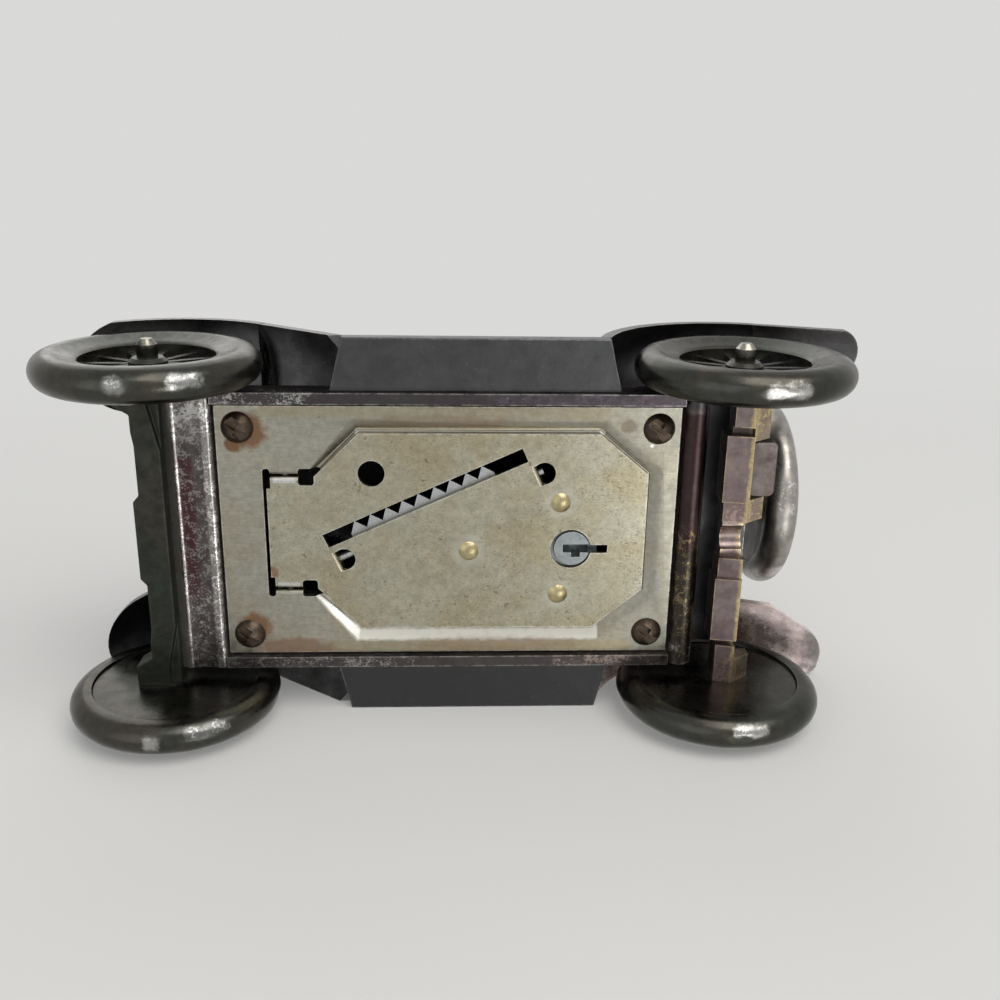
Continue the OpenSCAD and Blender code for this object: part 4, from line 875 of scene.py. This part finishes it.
@dataclass
class Trap:
    """The steel trap: frame, screws, hinge pin and door."""

    sheet_round: float = 0.14 * MM
    screw_round: float = 0.08 * MM
    head_radius: float = 2.45 * MM
    rivet_radius: float = 1.6 * MM
    fold_y: float = 8.7
    slope: PressedSlope = PressedSlope(
        step=((-29.45, 10.344), (-20.834, 17.6), (17.213, 17.6), (22.96, 10.5)),
        inner=((-28.28, 9.8), (-20.407, 16.43), (16.728, 16.43), (21.96, 10.5)),
        outward=(1.62, 1.62, 1.62, 1.95), inward=0.15, outer_level=17.4, sunk_level=18.39,
    )

    def screw_places(self) -> list[Vector]:
        """Middles of the screws' heads: front left, front right, rear left, rear right."""
        low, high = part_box("frame_screws")
        return [
            Vector((x, y, low.z))
            for x in (high.x - self.head_radius, low.x + self.head_radius)
            for y in (high.y - self.head_radius, low.y + self.head_radius)
        ]

    def frame_stains(self) -> tuple[Stain, ...]:
        """Rust about the front screws, with a trail behind the right one, and browned strips.

        Returns:
            The stains.
        """
        front_left, front_right, rear_left, _ = self.screw_places()
        low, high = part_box("trap_frame")
        z = low.z
        return (
            Stain((front_left.x - 1.2 * MM, front_left.y - 0.6 * MM, z), 3.6 * MM),
            Stain((front_left.x + 0.8 * MM, front_left.y - 2.6 * MM, z), 1.6 * MM),
            Stain((front_right.x - 0.8 * MM, front_right.y + 1.0 * MM, z), 3.4 * MM),
            Stain((front_right.x - 7.0 * MM, low.y + 0.9 * MM, z), 2.2 * MM, (0.28, 1.0, 1.0), 0.75),
            Stain((rear_left.x + 4.6 * MM, rear_left.y + 0.4 * MM, z), 1.5 * MM, strength=0.4),
            Stain((4.0 * MM, high.y - 2.6 * MM, z), 1.6 * MM, (0.1, 1.0, 1.0), 0.4),
            Stain((-4.0 * MM, low.y + 1.4 * MM, z), 1.5 * MM, (0.08, 1.0, 1.0), 0.35),
        )

    def painted_slope_light_and_stains(self) -> tuple[Patch, ...]:
        """Painted light on the pressed slope, with browned strips by the long edges: painted highlights on
        its lower side and lower diagonal, painted shade on its upper side, a painted highlight along the rim
        and a painted glint on a small pip.
        """
        return (
            # Painted highlight: the lower slope, lit from above, is drawn as cream metal.
            Patch((-1.75, -16.9, 17.95), (19.25, 1.4, 0.3), (0.68, 0.66, 0.59), 0.9, soft=0.3, rough=0.34),
            # Painted highlight: the lower diagonal of the slope, which faces the light, is drawn brightest.
            Patch((20.4, -13.9, 17.95), (3.2, 4.2, 0.3), (0.82, 0.81, 0.77), 0.9, soft=0.2, rough=0.3),
            # Painted shade: the upper slope, turned away from the light, is drawn brown.
            Patch((-2.0, 16.5, 17.95), (19.0, 2.0, 0.2), (0.2, 0.17, 0.115), 0.4, soft=0.3),
            # Painted highlight: a bright line along the rim's edge beside the door's upper side.
            Patch((-2.0, 16.3, 18.45), (19.0, 0.5, 0.12), (0.8, 0.79, 0.73), 0.85, soft=0.1),
            Patch((5.0, 19.4, 17.4), (26.0, 0.5, 0.4), (0.3, 0.22, 0.1), 0.45, broken=0.4),
            Patch((-2.0, -19.4, 17.4), (24.0, 0.4, 0.4), (0.34, 0.26, 0.12), 0.5, broken=0.3),
            # Painted glint: a tiny pale spot where a small pip stands on the frame.
            Patch((-28.08, 14.26, 17.4), (0.02, 0.02, 0.2), (0.85, 0.85, 0.82), 0.9, soft=0.4),
        )

    def fold_highlight_patches(self) -> tuple[Patch, ...]:
        """Painted highlights, light grey bars, where the door's two ears fold up beside the hinge pin: their
        bends catch the light.

        Returns:
            The patches.
        """
        # Colour of the painted highlight on each ear's bend.
        bar: Colour = (0.62, 0.62, 0.6)
        low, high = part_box("hinge_pin")
        x, z = (low.x + high.x) / 2 / MM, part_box("trap_door")[0].z / MM + 0.1
        ends = (-self.fold_y, self.fold_y)
        return tuple(Patch((x, y, z), (1.6, 0.4, 0.3), bar, 0.85, soft=0.25) for y in ends)

    def door_stains(self) -> tuple[Stain, ...]:
        """Clean metal round the rivets and the lock, and rust at the neck's corner.

        Returns:
            The stains.
        """
        clean: Colour = (0.46, 0.45, 0.38)
        places = [(sum(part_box(node), Vector()) / 2, 3.4) for node in ("guard_rivet", "lock_plug")]
        low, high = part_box("lock_rivets")
        ends = (low.y + self.rivet_radius, high.y - self.rivet_radius)
        places += [(Vector(((low.x + high.x) / 2, y, low.z)), 3.0) for y in ends]
        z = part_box("trap_door")[0].z
        halos = tuple(Stain((p.x, p.y, z), r * MM, strength=0.55, ragged=0.5, clean=clean) for p, r in places)
        return halos + (Stain((30.3 * MM, -6.6 * MM, z), 1.1 * MM, (1.0, 0.7, 1.0), 0.8),)

    def build(self) -> None:
        """Dresses the trap's nodes."""
        plate = SheetFinish(
            "frame_steel", base=(0.335, 0.327, 0.275), yellowed=(0.31, 0.275, 0.2), speck=(0.12, 0.085, 0.05),
            yellow_share=0.55, density=0.2, lines=(0.06, 1.0, 1.0), stains=self.frame_stains(),
            patches=self.painted_slope_light_and_stains(), smooth=0.26, rough=0.4,
        ).build()
        door = SheetFinish(
            "door_steel", base=(0.39, 0.375, 0.295), yellowed=(0.35, 0.3, 0.19), speck=(0.13, 0.085, 0.04),
            yellow_share=0.75, density=0.55, lines=(0.35, 1.0, 1.0), stains=self.door_stains(),
            patches=self.fold_highlight_patches(), smooth=0.24, rough=0.38,
        ).build()
        screw = BrightFinish(
            "screw_brown", base=(0.085, 0.062, 0.046), tarnish=(0.04, 0.027, 0.018), worn=(0.34, 0.29, 0.23),
            tarnish_share=0.8, smooth=0.3, rough=0.5,
        ).build()
        zinc = BrightFinish(
            "hinge_zinc", base=(0.55, 0.55, 0.53), tarnish=(0.3, 0.27, 0.2), worn=(0.8, 0.8, 0.78),
        ).build()
        soften("trap_frame", Body.CASTING, plate, self.sheet_round, shaping=self.slope.press)
        soften("trap_door", Body.DOOR, door, self.sheet_round)
        soften("frame_screws", Body.CASTING, screw, self.screw_round)
        soften("hinge_pin", Body.CASTING, zinc, self.screw_round)


@dataclass
class GuardAndLock:
    """Coin guard with its spring and rivet, and the key lock."""

    edge_round: float = 0.06 * MM
    leaf_along: Place = (0.414693, 0.909961, 0.0)
    leaf_from: float = 4.5 * MM
    leaf_to: float = 7.9 * MM
    leaf_cuts: int = 9

    def leaf_bend(self) -> tuple[Vector, Vector]:
        """Works out where the leaf spring bends.

        Returns:
            Where it starts to bend and where it has turned with the guard.
        """
        foot = sum(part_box("guard_rivet"), Vector()) / 2
        along = Vector(self.leaf_along)
        return foot + along * self.leaf_from, foot + along * self.leaf_to

    def cut_leaf(self, shape: Shape) -> None:
        """Cuts the leaf across in even steps, so that it bends in a smooth curve.

        Args:
            shape: the merged spring.
        """
        start, end = self.leaf_bend()
        for share in np.linspace(0.0, 1.0, self.leaf_cuts):
            bmesh.ops.bisect_plane(shape, geom=[*shape.verts, *shape.edges, *shape.faces],
                                   plane_co=start.lerp(end, float(share)), plane_no=end - start)

    def build(self) -> None:
        """Dresses the guard's and the lock's nodes; the leaf spring is cut across where it bends from the
        door to the guard, and no body carries it.
        """
        zinc = BrightFinish(
            "guard_zinc", base=(0.42, 0.43, 0.44), tarnish=(0.26, 0.26, 0.25), worn=(0.85, 0.86, 0.86),
            smooth=0.3, rough=0.5,
        ).build()
        plug = BrightFinish(
            "plug_zinc", base=(0.3, 0.325, 0.33), tarnish=(0.15, 0.165, 0.165), worn=(0.85, 0.87, 0.88),
        ).build()
        brass = BrightFinish(
            "rivet_brass", base=(0.46, 0.4, 0.23), tarnish=(0.24, 0.18, 0.08), worn=(0.8, 0.72, 0.48),
        ).build()
        soften("coin_guard", Body.GUARD, zinc, self.edge_round)
        spring = soften("guard_spring", None, zinc, 0.0, shaping=self.cut_leaf)
        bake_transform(spring)
        soften("guard_rivet", Body.DOOR, brass, self.edge_round)
        soften("lock_rivets", Body.DOOR, brass, self.edge_round)
        soften("lock_case", Body.DOOR, plug, self.edge_round)
        soften("lock_plug", Body.LOCK, plug, self.edge_round)
        soften("lock_cam", Body.LOCK, zinc, self.edge_round)


@dataclass(frozen=True)
class Lamp:
    """A square area lamp that faces the bank's middle: its place and side in metres, its power in watts."""

    name: str
    at: Place
    side: float
    power: float
    colour: Colour

    def build(self) -> None:
        """Adds the lamp to the scene."""
        data = bpy.data.lights.new(self.name, "AREA")
        data.shape = "SQUARE"
        data.size = self.side
        data.energy = self.power
        data.color = self.colour
        lamp = bpy.data.objects.new(self.name, data)
        lamp.location = self.at
        lamp.visible_camera = False
        lamp.rotation_mode = "QUATERNION"
        lamp.rotation_quaternion = (Vector(self.at) - (CAD_BOX[0] + CAD_BOX[1]) / 2).to_track_quat("Z", "Y")
        bpy.context.scene.collection.objects.link(lamp)


@dataclass
class Studio:
    """Camera at the photograph's angle, soft lamps, pale floors and the pale surroundings."""

    eye: Place = (2.93 * MM, 58.12 * MM, -137.14 * MM)
    pitch: float = -0.3279
    yaw: float = -0.0487
    roll: float = -0.0008
    focal_share: float = 1.06095
    sensor: float = 36.0
    clip_start: float = 0.005
    clip_end: float = 50.0
    pale: Colour = (0.7, 0.697, 0.685)
    white: Colour = (1.0, 1.0, 1.0)
    level: float = 0.45
    reach: float = 12.0
    near: float = 0.1
    beyond: float = 0.42
    even: float = 0.25
    lamps: tuple[Lamp, ...] = (
        Lamp("key", (-0.2, 0.5, -0.26), 0.5, 2.4, (1.0, 0.985, 0.96)),
        Lamp("sheen", (-0.24, -0.13, -0.4), 0.2, 0.45, (1.0, 0.99, 0.97)),
        Lamp("fill", (0.35, 0.12, -0.5), 0.5, 0.5, (0.96, 0.98, 1.0)),
        Lamp("top", (0.12, 0.36, 0.45), 0.5, 0.8, (1.0, 0.99, 0.97)),
    )

    def add_camera(self) -> None:
        """Places the camera: it looks up at the underside, with the car's left side at the top."""
        data = bpy.data.cameras.new("view")
        data.sensor_width = self.sensor
        data.lens = self.sensor * self.focal_share
        data.clip_start = self.clip_start
        data.clip_end = self.clip_end
        turn = Matrix.Rotation(self.roll, 3, "Z") @ Matrix.Rotation(self.yaw, 3, "Y")
        turn = turn @ Matrix.Rotation(self.pitch, 3, "X")
        rows = turn @ Matrix(((-1, 0, 0), (0, 1, 0), (0, 0, 1)))
        axes = Matrix((rows[0], rows[1], -rows[2])).transposed()
        camera = bpy.data.objects.new("view", data)
        camera.matrix_world = Matrix.Translation(self.eye) @ axes.to_4x4()
        bpy.context.scene.collection.objects.link(camera)
        bpy.context.scene.camera = camera

    def add_floor(self, name: str, corners: list[Place]) -> None:
        """Adds a pale floor that shows from its front only, casts nothing and fades to the surroundings.

        Args:
            name: the floor's name.
            corners: its four corners, anticlockwise seen from its front.
        """
        mesh = bpy.data.meshes.new(name)
        mesh.from_pydata(corners, [], [(0, 1, 2, 3)])
        made = bpy.data.materials.new(name)
        graph = clear_nodes(made)
        plain = graph.node("BsdfDiffuse", {"Color": self.pale}).outputs[0]
        glow = graph.node("Emission", {"Color": self.pale, "Strength": 1.0}).outputs[0]
        clear = graph.node("BsdfTransparent").outputs[0]
        away = graph.measure("LENGTH", graph.node("TexCoord").outputs["Object"])
        fade = graph.step(away, self.near, self.beyond, self.even, 1.0)
        calm = graph.node("MixShader", {0: fade, 1: plain, 2: glow}).outputs[0]
        behind = graph.node("NewGeometry").outputs["Backfacing"]
        both = graph.node("MixShader", {0: behind, 1: calm, 2: clear}).outputs[0]
        graph.node("OutputMaterial", {"Surface": both})
        mesh.materials.append(made)
        floor = bpy.data.objects.new(name, mesh)
        floor.visible_shadow = False
        floor.visible_diffuse = False
        floor.visible_glossy = False
        floor.visible_transmission = False
        bpy.context.scene.collection.objects.link(floor)

    def add_floors(self) -> None:
        """Adds the floor under the wheels and the one that the bank lies on in the photograph."""
        low, far = CAD_BOX[0], self.reach
        square = ((-far, -far), (far, -far), (far, far), (-far, far))
        self.add_floor("ground", [(x, y, low.z) for x, y in square])
        self.add_floor("rest", [(x, low.y, z) for z, x in square])

    def add_world(self) -> None:
        """Makes the surroundings pale to the eye and to reflections, and a plain level of light."""
        world = bpy.data.worlds.new("surroundings")
        graph = clear_nodes(world)
        path = graph.node("LightPath").outputs
        seen = graph.math("MAXIMUM", path["Is Camera Ray"], path["Is Transmission Ray"])
        seen = graph.math("MAXIMUM", seen, path["Is Glossy Ray"])
        shown = graph.node("Background", {"Color": self.pale, "Strength": 1.0}).outputs[0]
        light = graph.node("Background", {"Color": self.white, "Strength": self.level}).outputs[0]
        both = graph.node("MixShader", {0: seen, 1: light, 2: shown}).outputs[0]
        graph.node("OutputWorld", {"Surface": both})
        bpy.context.scene.world = world

    def build(self) -> None:
        """Builds the whole stage."""
        self.add_camera()
        for lamp in self.lamps:
            lamp.build()
        self.add_floors()
        self.add_world()
        bpy.context.scene.view_settings.view_transform = "Standard"


def main() -> None:
    """Dresses the bank from the casting inwards, then sets the stage."""
    logging.basicConfig(level=logging.INFO, format="%(message)s")
    for assembly in (Casting(), Wheels(), Trap(), GuardAndLock(), Studio()):
        assembly.build()


if __name__ == "__main__":
    main()
